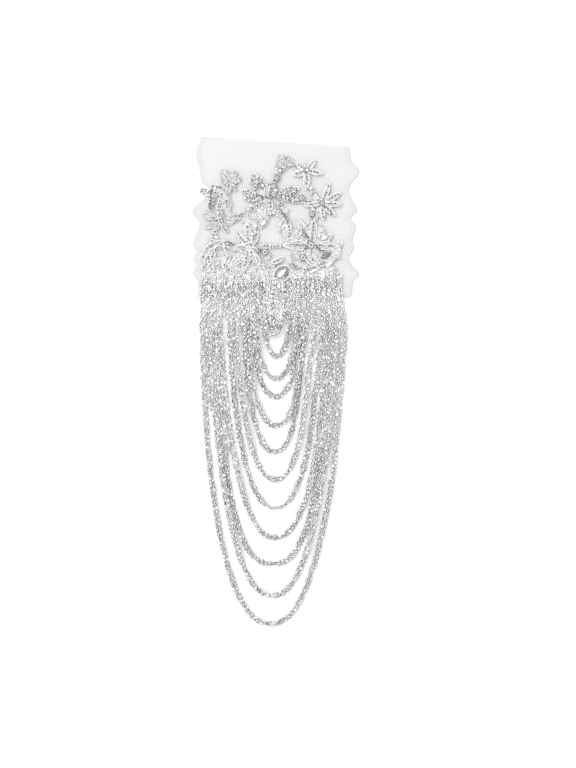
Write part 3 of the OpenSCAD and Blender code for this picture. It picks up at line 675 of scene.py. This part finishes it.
def strand_links(curve, side, turn, sizes, rng, moved=0.0, opened=0.0, edge=0.0):
    """Places, frames and lightness of one strand's links. They are lighter where opened and edge are more
    than
    0, which is painted light. The strands start half a pitch apart, and each end stops at its own place under
    the lace."""
    path, roll = strand_path(curve, side, turn, sizes, rng, moved, opened, edge)
    run = run_along(path)
    pitch = sizes.link_pitch / MM
    first = pitch * ((0.5 if side > 0 else 0.0) + 0.25 * rng.random())
    at = np.linspace(first, run[-1] - first, int((run[-1] - 2 * first) / pitch) + 1)
    low, high = (CHAIN_ROOT - 2) * rng.random(2) * [1, -1] + [0, run[-1]]
    at = at[(at > low) & (at < high)]
    at += wander(rng, at, 36, 0.3)
    light = np.broadcast_to(opened + 1.5 * edge, len(path))
    packed = np.stack([np.interp(at, run, column) for column in (*path.T, roll, light)], -1)
    places = packed[:, :3]
    tangent, across, up = path_frames(places)
    roll = packed[:, 3] + 0.35 * rng.standard_normal(len(at))
    cos, sin = np.cos(roll)[:, None], np.sin(roll)[:, None]
    side, top = across * cos + up * sin, up * cos - across * sin
    # Each cup rocks a little on its bar
    rock = rng.standard_normal((2, len(at), 1))
    tangent = unit(tangent + 0.15 * rock[0] * top + 0.1 * rock[1] * side)
    side = unit(np.cross(top, tangent))
    frames = np.stack([tangent, side, np.cross(tangent, side)], -1)
    # A tipped cup reaches CUP_HALF_H cos + 0.53 width sin below and above its middle. None sinks into the
    # floor, and none stands higher than the model.
    rise = np.abs(frames[:, 2, 2])
    reach = CUP_HALF_H * rise + 0.53 * sizes.cup_width / MM * np.sqrt(np.clip(1 - rise ** 2, 0, 1))
    places[:, 2] = np.clip(places[:, 2], reach, MODEL_H - reach)
    return places, frames, packed[:, 4]


def chain_link(sizes):
    """One link of cup chain: a cup and its cut stone turned as one closed profile, four prongs bent over the
    stone, and the bar to the next cup"""
    r = sizes.cup_width / MM / 2
    pitch = sizes.link_pitch / MM
    cup, (belts, caps) = lathe([(0.5 * r, -CUP_HALF_H), (0.8 * r, -0.3), (0.92 * r, 0.3), (0.78 * r, 0.24),
                                (0.42 * r, 0.6)], 8)
    # Painted shade and reflections: the cup's lower belt, outer wall and the bar get dark tones, the rim and
    # prongs mid tones, the stone's crown a light tone, and its table a random one, more often dark
    parts = [(cup, [([belts[:8], caps[:1]], 0, 0.2), ([belts[8:16]], 0, 0.05), ([belts[16:24]], 0, 0.6),
                    ([belts[24:]], 1, 0.9), ([caps[1:]], 1, None)])]
    prong = [[1.06, -0.24, 0.1], [1.06, 0.24, 0.1], [0.6, 0.0, CUP_HALF_H], [0.7, 0.0, 0.2]]
    faces = [np.array([[0, 1, 2], [1, 3, 2], [3, 0, 2], [0, 3, 1]])]
    for a in around(4) + np.pi / 4:
        turn = np.array([[math.cos(a), -math.sin(a), 0], [math.sin(a), math.cos(a), 0], [0, 0, 1]])
        parts.append((np.array(prong) * [r, 1, 1] @ turn.T, [(faces, 0, 0.6)]))
    bar, bar_faces = box_points([0.8 * r, -0.26, -0.34], [pitch - 0.8 * r, 0.26, -0.12])
    return joined(parts + [(bar, [(bar_faces, 0, 0.1)])])


def lace_path(points, steps=8):
    """Catmull-Rom curve through points on the lace, four of them a, b, c, d at a time:
    0.5 (2 b + (c - a) t + (2 a - 5 b + 4 c - d) t^2 + (3 b - a - 3 c + d) t^3)"""
    p = np.array(points, float)
    p = np.concatenate([p[:1], p, p[-1:]])
    t = np.linspace(0, 1, steps, endpoint=False)[:, None]
    rows = [0.5 * (2 * b + (c - a) * t + (2 * a - 5 * b + 4 * c - d) * t ** 2
                   + (3 * b - a - 3 * c + d) * t ** 3) for a, b, c, d in zip(p, p[1:], p[2:], p[3:])]
    return np.concatenate(rows + [p[-2:-1]]) + [0, LACE_Y0]


def ridge(path, half, height, z, sides=10):
    """Padded stitch: half cos(a) to the side and height max(sin a, 0)^0.8 up, for a round the section. half
    and height may change along the path."""
    a = around(sides)
    half, height = (np.broadcast_to(size, len(path))[:, None] for size in (half, height))
    return sweep(at_height(path, z), half * np.cos(a), height * np.maximum(np.sin(a), 0) ** 0.8)


def cord_tube(path, radius, sides=6):
    """Round cord: radius cos(a) to the side and radius sin(a) up, for a round the section"""
    a = around(sides)
    return sweep(path, radius * np.cos(a), radius * np.sin(a))


def leaf_half(t):
    """Half width of a leaf as a share of its width: (sin(180 t^0.92))^0.95 / 2"""
    return np.clip(np.sin(np.pi * np.clip(t, 0, 1) ** 0.92), 0, 1) ** 0.95 / 2


def direction(angle):
    """Cosine and sine of an angle in degrees"""
    return np.array([math.cos(math.radians(angle)), math.sin(math.radians(angle))])


def on_lace(x, y, angle, local):
    """Local points turned by an angle in degrees and put at a place on the lace"""
    c, s = direction(angle)
    u, v = local.T
    return np.stack([x + u * c - v * s, LACE_Y0 + y + u * s + v * c], -1)


def all_leaves():
    """Every petal and leaf: node, x, y, angle, length, width, raised"""
    rows = [(node, *centre[:2], *petal) for node, (centre, petals) in FLOWERS.items() for petal in petals]
    return rows + [(node, *leaf) for node, leaves in LEAVES.items() for leaf in leaves]


def leaf_z(row):
    """Height that a petal or leaf lies at"""
    return RAISED_Z if row[6] else FLAT_Z


def leaf_line(row, share, z, ends=LEAF_END):
    """A line along a petal from root to tip, at a share of the half width to its left (+) or right (-)"""
    _, x, y, angle, long, wide, _ = row
    t = np.linspace(ends, 1 - ends, LEAF_STEPS)
    return at_height(on_lace(x, y, angle, np.stack([t * long, share * leaf_half(t) * wide], -1)), z)


def leaf_parts(row, sizes):
    """A petal: two satin halves with a groove between them, and a cord round it"""
    z = leaf_z(row)
    t = np.linspace(LEAF_END, 1 - LEAF_END, LEAF_STEPS)
    halves = [ridge(leaf_line(row, share, 0)[:, :2], leaf_half(t) * row[5] * 0.3 + 0.05,
                    0.7 * np.sin(np.pi * t) ** 0.5 + 0.05, z - 0.2) for share in (0.46, -0.46)]
    radius = sizes.cord_width / MM / 2
    inner = 1 - radius / row[5]
    edge = np.concatenate([leaf_line(row, inner, z + 0.3), leaf_line(row, -inner, z + 0.3)[::-1]])
    return halves, cord_tube(np.concatenate([edge, edge[:1]]), radius)


def seed_bead(width):
    """Silver-lined seed bead, hole up: a short drum with rounded edges and a hole painted dark as painted
    shade; its top is painted lighter than its lower wall and the wall inside the hole
    """
    r = width / 2
    points, (belts, caps) = lathe([(0.5 * r, -0.6 * r), (r, -0.2 * r), (0.95 * r, 0.35 * r),
                                   (0.66 * r, 0.62 * r), (0.42 * r, 0.3 * r)], 7)
    return joined([(points, [([belts[:7], caps[:1]], 0, 0.45), ([belts[7:21]], 0, 0.9),
                             ([belts[21:]], 0, 0.3), ([caps[1:]], 0, 0.0)])])


def ring_sequin(width):
    """Cup sequin: a shallow seven-sided dish with a hole, and a bead over the hole. Its rim is painted light
    and its underside grey, as painted light and shade, and the top of its bead dark, as painted shade in the
    hole.
    """
    r = width / 2
    points, (belts, caps) = lathe([(0.3 * r, -0.1), (r, 0.25), (0.92 * r, 0.36), (0.4 * r, 0.1),
                                   (0.36 * r, 0.5), (0.16 * r, 0.55)], 7)
    return joined([(points, [([belts[:7], caps[:1]], 0, 0.4), ([belts[7:14]], 0, 0.95),
                             ([belts[14:21]], 0, 0.75), ([belts[21:]], 0, 0.8), ([caps[1:]], 0, 0.0)])])


def stitch():
    """One stitch of thread: a thin six-faced bar"""
    points, faces = box_points([-1.0, -0.22, -0.1], [1.0, 0.22, 0.2])
    return joined([(points, [(faces, 0, 0.85)])])


def level_frames(angles, rng, tilt):
    """Frames with x along each angle, tipped a little at random"""
    c, s = np.cos(angles), np.sin(angles)
    z = np.zeros_like(c)
    up = unit(np.stack([z, z, z + 1], -1) + tilt * rng.standard_normal((len(c), 3)))
    side = unit(np.cross(up, np.stack([c, s, z], -1)))
    return np.stack([np.cross(side, up), side, up], -1)


def segment_distance(points, a, b):
    """Distance of each point from a segment, to its nearest point a + t (b - a) with t from 0 to 1"""
    a, b = np.array(a), np.array(b)
    t = np.clip((points - a) @ (b - a) / max((b - a) @ (b - a), 1e-9), 0, 1)
    return np.linalg.norm(points - a - t[:, None] * (b - a), axis=1)


def ground_distance(points):
    """How far each point of the lace lies outside the stitched ground, less than 0 inside: the union of thick
    segments along the ground rows, leaves and stems, less the windows"""
    parts = [segment_distance(points, row[:2], row[2:4]) - row[4] for row in GROUND]
    for _, x, y, angle, long, wide, _ in all_leaves():
        root, tip = np.array([x, y]), long * direction(angle)
        parts.append(segment_distance(points, root + 0.2 * tip, root + 0.8 * tip) - 0.3 * wide)
    for wide, path in FLAT_STEMS + RAISED_STEMS:
        parts += [segment_distance(points, a, b) - wide / 2 for a, b in zip(path[:-1], path[1:])]
    away = np.min(parts, axis=0)
    for x, y, radius in WINDOWS:
        away = np.maximum(away, radius - np.hypot(points[:, 0] - x, points[:, 1] - y))
    return away


def clear_of_stones(points):
    """Which places no crystal covers: outside each round stone, and outside a thick segment for a long one"""
    flat = points[:, :2] - [0, LACE_Y0]
    clear = np.ones(len(flat), bool)
    for x, y, wide in ROUND_CRYSTALS:
        clear &= np.hypot(flat[:, 0] - x, flat[:, 1] - y) > wide / 2 + 0.5
    for x, y, angle, long, wide in [row[:5] for row in NAVETTES] + [PEAR]:
        end = (long - wide) / 2 * direction(angle)
        clear &= segment_distance(flat, [x, y] - end, [x, y] + end) > wide / 2 + 0.4
    return clear


def row_places(rows, z, step):
    """Places at even steps along straight rows of two ends on the lace"""
    return np.concatenate([spaced(np.array([[x0, y0 + LACE_Y0, z], [x1, y1 + LACE_Y0, z]]), step)
                           for x0, y0, x1, y1 in rows])


def scattered(rng, step, jitter):
    """Flat places over the whole lace at even steps, each moved at random"""
    x, y = np.meshgrid(np.arange(-LACE_HALF_W, LACE_HALF_W, step), np.arange(0, LACE_H, step))
    return np.stack([x.ravel(), y.ravel()], -1) + jitter * rng.standard_normal((x.size, 2))


def laid(places, rng, jitter, tilt):
    """The places that no crystal covers, moved at random where jitter isn't 0, and a frame for each"""
    places = places[clear_of_stones(places)]
    if jitter:
        places[:, :2] += jitter * rng.standard_normal((len(places), 2))
    return places, level_frames(rng.random(len(places)) * 6.28, rng, tilt)


def wave_edge(rows, at):
    """Inset of a scalloped side at a distance down: a half cosine from each row to the next"""
    k = np.clip(np.searchsorted(rows[:, 0], at, side="right") - 1, 0, len(rows) - 2)
    t = np.clip((at - rows[k, 0]) / (rows[k + 1, 0] - rows[k, 0]), 0, 1)
    return rows[k, 1] + (rows[k + 1, 1] - rows[k, 1]) * (1 - np.cos(np.pi * t)) / 2


def net_surface(u, v):
    """The net: across by u from its left to its right scalloped side, down by v. Its swell is a sine across
    times a sine down, and a ripple runs down its right side and fades away from it."""
    right_v = RIGHT_EDGE[0, 0] + v * (1 - RIGHT_EDGE[0, 0])
    left_x = -NET_W * (0.5 - wave_edge(LEFT_EDGE, v))
    right_x = NET_W * (0.5 - wave_edge(RIGHT_EDGE, right_v))
    x = left_x + (right_x - left_x) * u
    y = NET_Y0 + NET_H * (1 - (v + (right_v - v) * u))
    swell = 0.28 * np.sin(x / 9.0 + 0.4 * np.sin(y / 13)) * np.sin(y / 11.0 + 1.0)
    rim = 0.25 * np.exp(-(1 - u) * 18) * (0.5 + 0.5 * np.sin(y / 3.1 + 5 * u))
    return np.stack([x, y, 0.42 + swell + rim], -1)


def stone_batch(outline, wide, place, z, light, depth, heart, table=(0.45, 0.45)):
    """A cut stone in its place: flat back, girdle, a belt of main facets and a belt of star facets to the
    table. Each belt is the outline drawn in and raised; table is the last one's share of the length and
    width. light is the stone's middle tone, depth how far its main facets go from that by turns, and heart
    the tone of its table. These tones are painted reflections: the girdle is painted dark, and the star
    facets light."""
    rings = [(1.0, 0.0), (1.0, 0.26), (0.8, 0.66), (np.array(table), 1.0)]
    points = np.concatenate([at_height(on_lace(*place, outline * share), wide * STONE_RISE * rise + z)
                             for share, rise in rings])
    n = len(outline)
    belts, caps = tube_faces(len(rings), n)
    by_turns = np.where(np.arange(n) // 2 % 2, -1.0, 1.0)
    tones = light + depth * np.concatenate([np.full(n, -1.6), by_turns, 0.6 - 0.5 * by_turns])
    return points, [(belts, 0, np.clip(tones, 0, 1)), (caps, 0, heart)]


class EPAULETTE_OT_net(bpy.types.Operator):
    """Make the sheer net patch"""

    bl_idname = "epaulette.net"
    bl_label = "Net"

    def execute(self, context):
        sizes = context.scene.epaulette_sizes
        colours = context.scene.epaulette_colours
        rows, columns = 121, 119
        v, u = np.meshgrid(np.linspace(0, 1, rows), np.linspace(0, 1, columns), indexing="ij")
        surface = net_surface(u, v)
        top = surface.reshape(-1, 3)
        count = len(top)
        faces = grid_faces(rows, columns)
        k = np.arange(count).reshape(rows, columns)
        rim = np.concatenate([k[0, :-1], k[:-1, -1], k[-1, :0:-1], k[:0:-1, 0]])
        walls = np.stack([rim, np.roll(rim, -1), np.roll(rim, -1) + count, rim + count], -1)
        # The scalloped borders are worked closer than the middle; they are also painted greyer, as painted
        # shade along the edges
        inside = u.ravel()[faces].mean(axis=1)
        tone = 0.35 * np.exp(-(np.minimum(inside, 1 - inside) * NET_W / 3.2) ** 2)
        # The cut sides are painted greyer still, as painted shade
        batch = (np.concatenate([top, top - [0, 0, NET_THICK]]),
                 [(faces[:, ::-1], 0, tone), (faces + count, 0, tone), (walls, 0, 0.4)])
        piece = make_piece("net_ground_tulle", [batch], [tulle(colours, sizes)], ["net_ground"],
                           smooth=True)
        return {"FINISHED"}


class EPAULETTE_OT_lace_ground(bpy.types.Operator):
    """Make the stitched ground of the lace and its flat stems"""

    bl_idname = "epaulette.lace_ground"
    bl_label = "Lace ground"

    def execute(self, context):
        colours = context.scene.epaulette_colours
        step = 0.9
        x, y = np.meshgrid(np.arange(-LACE_HALF_W, LACE_HALF_W + 0.1, step), np.arange(-1, LACE_H + 1, step))
        flat = np.stack([x.ravel(), y.ravel()], -1)
        away = ground_distance(flat)
        slope = np.stack(np.gradient(away.reshape(x.shape), step)[::-1], -1).reshape(-1, 2)
        faces = grid_faces(*x.shape)
        faces = faces[(away[faces] < 0).sum(axis=1) >= 3]
        # The points outside move in to the outline
        outside = away > 0
        flat[outside] -= (slope * away[:, None])[outside] * 0.9
        height = 0.35 + 0.25 * np.clip(-away / 2, 0, 1)
        height += 0.1 * np.sin(flat[:, 0] * 2.1) * np.sin(flat[:, 1] * 1.9)
        used = np.unique(faces)
        faces = np.searchsorted(used, faces)
        count = len(used)
        flat = flat[used] + [0, LACE_Y0]
        # A wall stands on each edge that has one face
        edges = np.concatenate([faces[:, [k, (k + 1) % 4]] for k in range(4)])
        start, end = edges[~np.isin(edges @ [1, count], edges @ [count, 1])].T
        walls = np.stack([end, start, start + count, end + count], -1)
        points = np.concatenate([at_height(flat, z) for z in (NET_LIFT + height[used, None], NET_LIFT - 0.1)])
        # The underside and walls of the ground are painted grey, as painted shade
        batches = [(points, [(faces, 0, 0.92), (faces[:, ::-1] + count, 0, 0.5), (walls, 0, 0.5)])]
        batches += [one_tone(ridge(lace_path(path), wide / 2, 0.7, NET_LIFT + 0.3), 0.85)
                    for wide, path in FLAT_STEMS]
        make_piece("lace_applique_ground", batches, [embroidery_thread(colours)], ["lace_applique"],
                   smooth=True)
        return {"FINISHED"}


class EPAULETTE_OT_motifs(bpy.types.Operator):
    """Make each flower, leaf spray and raised stem with its cords"""

    bl_idname = "epaulette.motifs"
    bl_label = "Flowers and leaves"

    def execute(self, context):
        sizes = context.scene.epaulette_sizes
        colours = context.scene.epaulette_colours
        thread = embroidery_thread(colours)
        a = np.linspace(0, 2 * np.pi, 25)
        for node in dict.fromkeys([*FLOWERS, *LEAVES]):
            cord_tone, satin_tone = MOTIF_TONES.get(node, (1.0, 0.8))
            batches = []
            for row in [row for row in all_leaves() if row[0] == node]:
                halves, cord = leaf_parts(row, sizes)
                batches += [one_tone(half, satin_tone if row[6] else 0.7) for half in halves]
                batches.append(one_tone(cord, cord_tone if row[6] else 0.8))
            for wide, path in STEMS.get(node, []):
                batches.append(one_tone(ridge(lace_path(path), wide / 2, 0.9, RAISED_Z - 0.2), 0.9))
            if node in FLOWERS and not FLOWERS[node][0][2]:
                x, y, _ = FLOWERS[node][0]
                ring = at_height(on_lace(x, y, 0, 1.1 * np.stack([np.cos(a), np.sin(a)], -1)), RAISED_Z + 0.4)
                batches.append(one_tone(cord_tube(ring, 0.45, 8), cord_tone))
            make_piece(node + "_embroidery", batches, [thread], [node], smooth=True)
        return {"FINISHED"}


class EPAULETTE_OT_cords(bpy.types.Operator):
    """Sew the free white cords on the lace"""

    bl_idname = "epaulette.cords"
    bl_label = "White cords"

    def execute(self, context):
        colours = context.scene.epaulette_colours
        a = np.linspace(0, 2 * np.pi, 37)
        x, y, angle, half, low = CORD_ROUND_PEAR
        lines = [on_lace(x, y, angle, np.stack([half * np.cos(a), low * np.sin(a)], -1))]
        lines += [lace_path(np.reshape(row, (3, 2))) for row in CORDS]
        batches = [one_tone(cord_tube(at_height(line, RAISED_Z + 0.8), 0.5, 8), 1.0) for line in lines]
        make_piece("lace_cords", batches, [embroidery_thread(colours)], smooth=True)
        return {"FINISHED"}


class EPAULETTE_OT_stitches(bpy.types.Operator):
    """Lay the loose stitches on the petals and on the ground"""

    bl_idname = "epaulette.stitches"
    bl_label = "Stitches"

    def execute(self, context):
        colours = context.scene.epaulette_colours
        rng = np.random.default_rng(21)
        places, angles = [], []
        for row in all_leaves():
            _, x, y, angle, long, wide, _ = row
            count = int(long * wide * 0.3)
            t = 0.05 + 0.9 * rng.random(count)
            across = (2 * rng.random(count) - 1) * 0.8 * leaf_half(t) * wide
            flat = on_lace(x, y, angle, np.stack([t * long, across], -1))
            places.append(at_height(flat, leaf_z(row) + 0.2 + 0.35 * rng.random((count, 1))))
            angles.append(math.radians(angle) + np.sign(across) * 0.6 + 0.35 * rng.standard_normal(count))
        spots = scattered(rng, 1.3, 0.5)
        spots = spots[ground_distance(spots) < 0.3]
        places.append(at_height(spots + [0, LACE_Y0], NET_LIFT + 0.7 + 0.3 * rng.random((len(spots), 1))))
        angles.append(rng.random(len(spots)) * np.pi)
        places = np.concatenate(places)
        clear = clear_of_stones(places)
        places = places[clear]
        frames = level_frames(np.concatenate(angles)[clear], rng, 0.15)
        # Some lie in the light, some in the shade of their neighbours
        shade = 0.25 - 0.55 * rng.random(len(places)) ** 2
        make_piece("lace_stitches", [repeated(stitch(), places, frames, rng, shade)],
                   [embroidery_thread(colours)])
        return {"FINISHED"}


class EPAULETTE_OT_beads(bpy.types.Operator):
    """Sew the seed beads and ring sequins onto the lace"""

    bl_idname = "epaulette.beads"
    bl_label = "Beads and sequins"

    def execute(self, context):
        sizes = context.scene.epaulette_sizes
        rng = np.random.default_rng(11)
        width, ring = sizes.bead_width / MM, sizes.sequin_width / MM
        places = []
        for row in all_leaves():
            count, share = BEADING[row[0]]
            for across in np.linspace(-0.7, 0.7, count) if count > 1 else [0.0]:
                line = spaced(leaf_line(row, across, leaf_z(row) + 0.75, 0.12), width * 1.08)
                places.append(line[rng.random(len(line)) < share])
        for stems, z in ((RAISED_STEMS, RAISED_Z + 1.0), (FLAT_STEMS, NET_LIFT + 1.3)):
            places += [at_height(spaced(lace_path(path), width * 1.1), z) for _, path in stems]
        places, frames = laid(np.concatenate(places), rng, 0.15, 0.3)
        dark, dark_frames = laid(row_places(BEAD_ROWS, RAISED_Z + 1.1, width), rng, 0.25, 0.3)
        make_piece("lace_beads", [repeated(seed_bead(width), places, frames, rng),
                                  repeated(seed_bead(width), dark, dark_frames, rng, -0.25)],
                   [silver_beads()])
        spots = scattered(rng, 2.4, 0.6)
        # Sewn closely along the lower edge, over the roots of the chains, and thinly higher up
        share = np.where(spots[:, 1] < 9, 0.95, 0.25)
        spots = spots[(ground_distance(spots) < -0.8) & (rng.random(len(spots)) < share)]
        spots = at_height(spots + [0, LACE_Y0], NET_LIFT + 0.9 + 0.3 * rng.random((len(spots), 1)))
        rings = np.concatenate([row_places(RING_ROWS, RAISED_Z + 1.0, ring * 1.05), spots])
        rings, frames = laid(rings, rng, 0, 0.25)
        make_piece("lace_sequins", [repeated(ring_sequin(ring), rings, frames, rng)], [silver_beads()])
        return {"FINISHED"}


class EPAULETTE_OT_crystals(bpy.types.Operator):
    """Make the cut crystals and plate their settings"""

    bl_idname = "epaulette.crystals"
    bl_label = "Crystals"

    def execute(self, context):
        colours = context.scene.epaulette_colours
        rng = np.random.default_rng(5)
        cos, sin = np.cos(around(16)), np.sin(around(16))
        set_z = RAISED_Z + SET_RISE
        stones = {}
        # Painted reflections: the table of each larger round stone, and of about half the smaller ones, is
        # painted dark, and the rest white
        for number, (x, y, wide) in enumerate(ROUND_CRYSTALS, 1):
            stones[f"round_crystal_{number}"] = stone_batch(
                wide / 2 * np.stack([cos, sin], -1), wide, (x, y, 0), set_z, 0.85, 0.3,
                0.2 if wide > 3 or rng.random() < 0.5 else 0.9)
        for number, (x, y, angle, long, wide, light) in enumerate(NAVETTES, 1):
            outline = np.stack([long / 2 * cos, wide / 2 * np.sign(sin) * np.abs(sin) ** 1.5], -1)
            stones[f"navette_crystal_{number}"] = stone_batch(
                outline, wide, (x, y, angle), RAISED_Z, light, 0.15, light)
        x, y, angle, long, wide = PEAR
        outline = np.stack([long / 2 * cos, wide / 2 * sin * (1 - 0.3 * cos)], -1)
        # Its long table mirrors the light
        stones["pear_crystal"] = stone_batch(
            outline, wide, (x, y, angle), set_z, 0.6, 0.03, 1.0, (0.86, 0.36))
        glass = foiled_crystal()
        for node, stone in stones.items():
            make_piece(node + "_cut", [stone], [glass], [node])
        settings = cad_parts["crystal_settings"]
        settings.data.materials.clear()
        settings.data.materials.append(plated_metal(colours))
        return {"FINISHED"}


class EPAULETTE_OT_swags(bpy.types.Operator):
    """Make the swags of cup chain, two strands each"""

    bl_idname = "epaulette.swags"
    bl_label = "Chain swags"

    def execute(self, context):
        sizes = context.scene.epaulette_sizes
        materials = [plated_cups(), foiled_crystal()]
        link = chain_link(sizes)
        for number, row in enumerate(SWAGS, 1):
            rng = np.random.default_rng(100 + number)
            curve = swag_curve(row)
            run = run_along(curve)
            off = run - run[-1] / 2
            # The two strands lie side by side in the legs and turn round each other near the bottom
            turn = wander(rng, run, 80, 0.45) + np.exp(-(off / 45) ** 2) * wander(rng, run, 42, 1.7)
            edge = sum(np.exp(-((off - place) / reach) ** 4)
                       for swag, place, reach in EDGE_ON if swag == number)
            batches = []
            for side in (-1, 1):
                moved, opened = spread(number, curve, side > 0, sizes.strand_gap / MM / 2)
                places, frames, light = strand_links(curve, side, turn, sizes, rng, moved, opened, edge)
                # Crowded cups light each other, so they differ less
                top = ease(places[:, 1], 32, 54)
                batches.append(repeated(link, places, frames, rng, 0.10 * light + 0.22 * top,
                                        0.4 * np.minimum(light, 1) + 0.3 * top))
            node = f"chain_swag_{number:02d}"
            make_piece(node + "_links", batches, materials, [node])
        return {"FINISHED"}


class EPAULETTE_OT_bundle(bpy.types.Operator):
    """Make the bundle of short swags close under the lace"""

    bl_idname = "epaulette.bundle"
    bl_label = "Short swags"

    def execute(self, context):
        sizes = context.scene.epaulette_sizes
        link = chain_link(sizes)
        batches = []
        for number, (drop, half, rise) in enumerate(BUNDLE):
            rng = np.random.default_rng(300 + number)
            curve = swag_curve([drop / SWAG_DROP, half / SWAG_HALF_W, half / SWAG_HALF_W, 0, 2.25, 0, 0], 300)
            curve[:, 2] = NET_LIFT + rise
            for side in (-1, 1):
                turn = wander(rng, run_along(curve), 50, 0.5)
                places, frames, _ = strand_links(curve, side, turn, sizes, rng)
                # Painted light: the bundle's crowded cups are drawn lighter and toward the middle tone
                batches.append(repeated(link, places, frames, rng, 0.26, 0.75))
        make_piece("chain_bundle_links", batches, [plated_cups(), foiled_crystal()],
                   ["chain_bundle"])
        return {"FINISHED"}


class EPAULETTE_OT_stage(bpy.types.Operator):
    """Make the floor, the light and the camera"""

    bl_idname = "epaulette.stage"
    bl_label = "Stage"

    def execute(self, context):
        scene = context.scene
        mesh = bpy.data.meshes.new("floor")
        corners = [(-FLOOR_HALF, -FLOOR_HALF, 0), (FLOOR_HALF, -FLOOR_HALF, 0), (FLOOR_HALF, FLOOR_HALF, 0),
                   (-FLOOR_HALF, FLOOR_HALF, 0)]
        mesh.from_pydata(corners, [], [(0, 1, 2, 3)])
        mesh.materials.append(painted_floor(scene.epaulette_colours))
        new_object("floor", mesh)
        scene.world = bpy.data.worlds.new("studio")
        scene.world.use_nodes = True
        background = scene.world.node_tree.nodes["Background"]
        background.inputs["Color"].default_value = srgb("ffffff")
        background.inputs["Strength"].default_value = SKY_STRENGTH
        scene.view_settings.view_transform = "Standard"
        lamp = bpy.data.lights.new("softbox", "AREA")
        lamp.shape = "RECTANGLE"
        lamp.size = lamp.size_y = LAMP_WIDTH
        lamp.energy = LAMP_POWER
        softbox = new_object("softbox", lamp)
        softbox.location = LAMP
        softbox.rotation_euler = (math.atan2(math.hypot(LAMP[0], LAMP[1]), LAMP[2]), 0,
                                  math.atan2(-LAMP[1], -LAMP[0]) - math.pi / 2)
        camera = bpy.data.cameras.new("camera")
        camera.sensor_fit = "HORIZONTAL"
        camera.sensor_width = 36
        camera.lens = camera.sensor_width * CAMERA_PLACE[2] / WIDTH_SEEN
        scene.camera = new_object("camera", camera)
        scene.camera.location = CAMERA_PLACE
        return {"FINISHED"}


class EPAULETTE_PT_panel(bpy.types.Panel):
    """Lists the pieces of the epaulette"""

    bl_label = "Epaulette"
    bl_idname = "EPAULETTE_PT_panel"
    bl_space_type = "VIEW_3D"
    bl_region_type = "UI"
    bl_category = "Epaulette"

    def draw(self, context):
        for group in (context.scene.epaulette_sizes, context.scene.epaulette_colours):
            for name in type(group).__annotations__:
                self.layout.prop(group, name)
        for operator in OPERATORS:
            self.layout.operator(operator.bl_idname)


OPERATORS = (EPAULETTE_OT_net, EPAULETTE_OT_lace_ground, EPAULETTE_OT_motifs, EPAULETTE_OT_cords,
             EPAULETTE_OT_stitches, EPAULETTE_OT_beads, EPAULETTE_OT_crystals, EPAULETTE_OT_swags,
             EPAULETTE_OT_bundle, EPAULETTE_OT_stage)
CLASSES = (EpauletteSizes, EpauletteColours) + OPERATORS + (EPAULETTE_PT_panel,)


def register():
    for item in CLASSES:
        bpy.utils.register_class(item)
    bpy.types.Scene.epaulette_sizes = bpy.props.PointerProperty(type=EpauletteSizes)
    bpy.types.Scene.epaulette_colours = bpy.props.PointerProperty(type=EpauletteColours)


def unregister():
    del bpy.types.Scene.epaulette_colours
    del bpy.types.Scene.epaulette_sizes
    for item in reversed(CLASSES):
        bpy.utils.unregister_class(item)


def main():
    """Registers the add-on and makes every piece"""
    register()
    for operator in OPERATORS:
        getattr(bpy.ops.epaulette, operator.bl_idname.split(".")[1])()


if __name__ == "__main__":
    main()
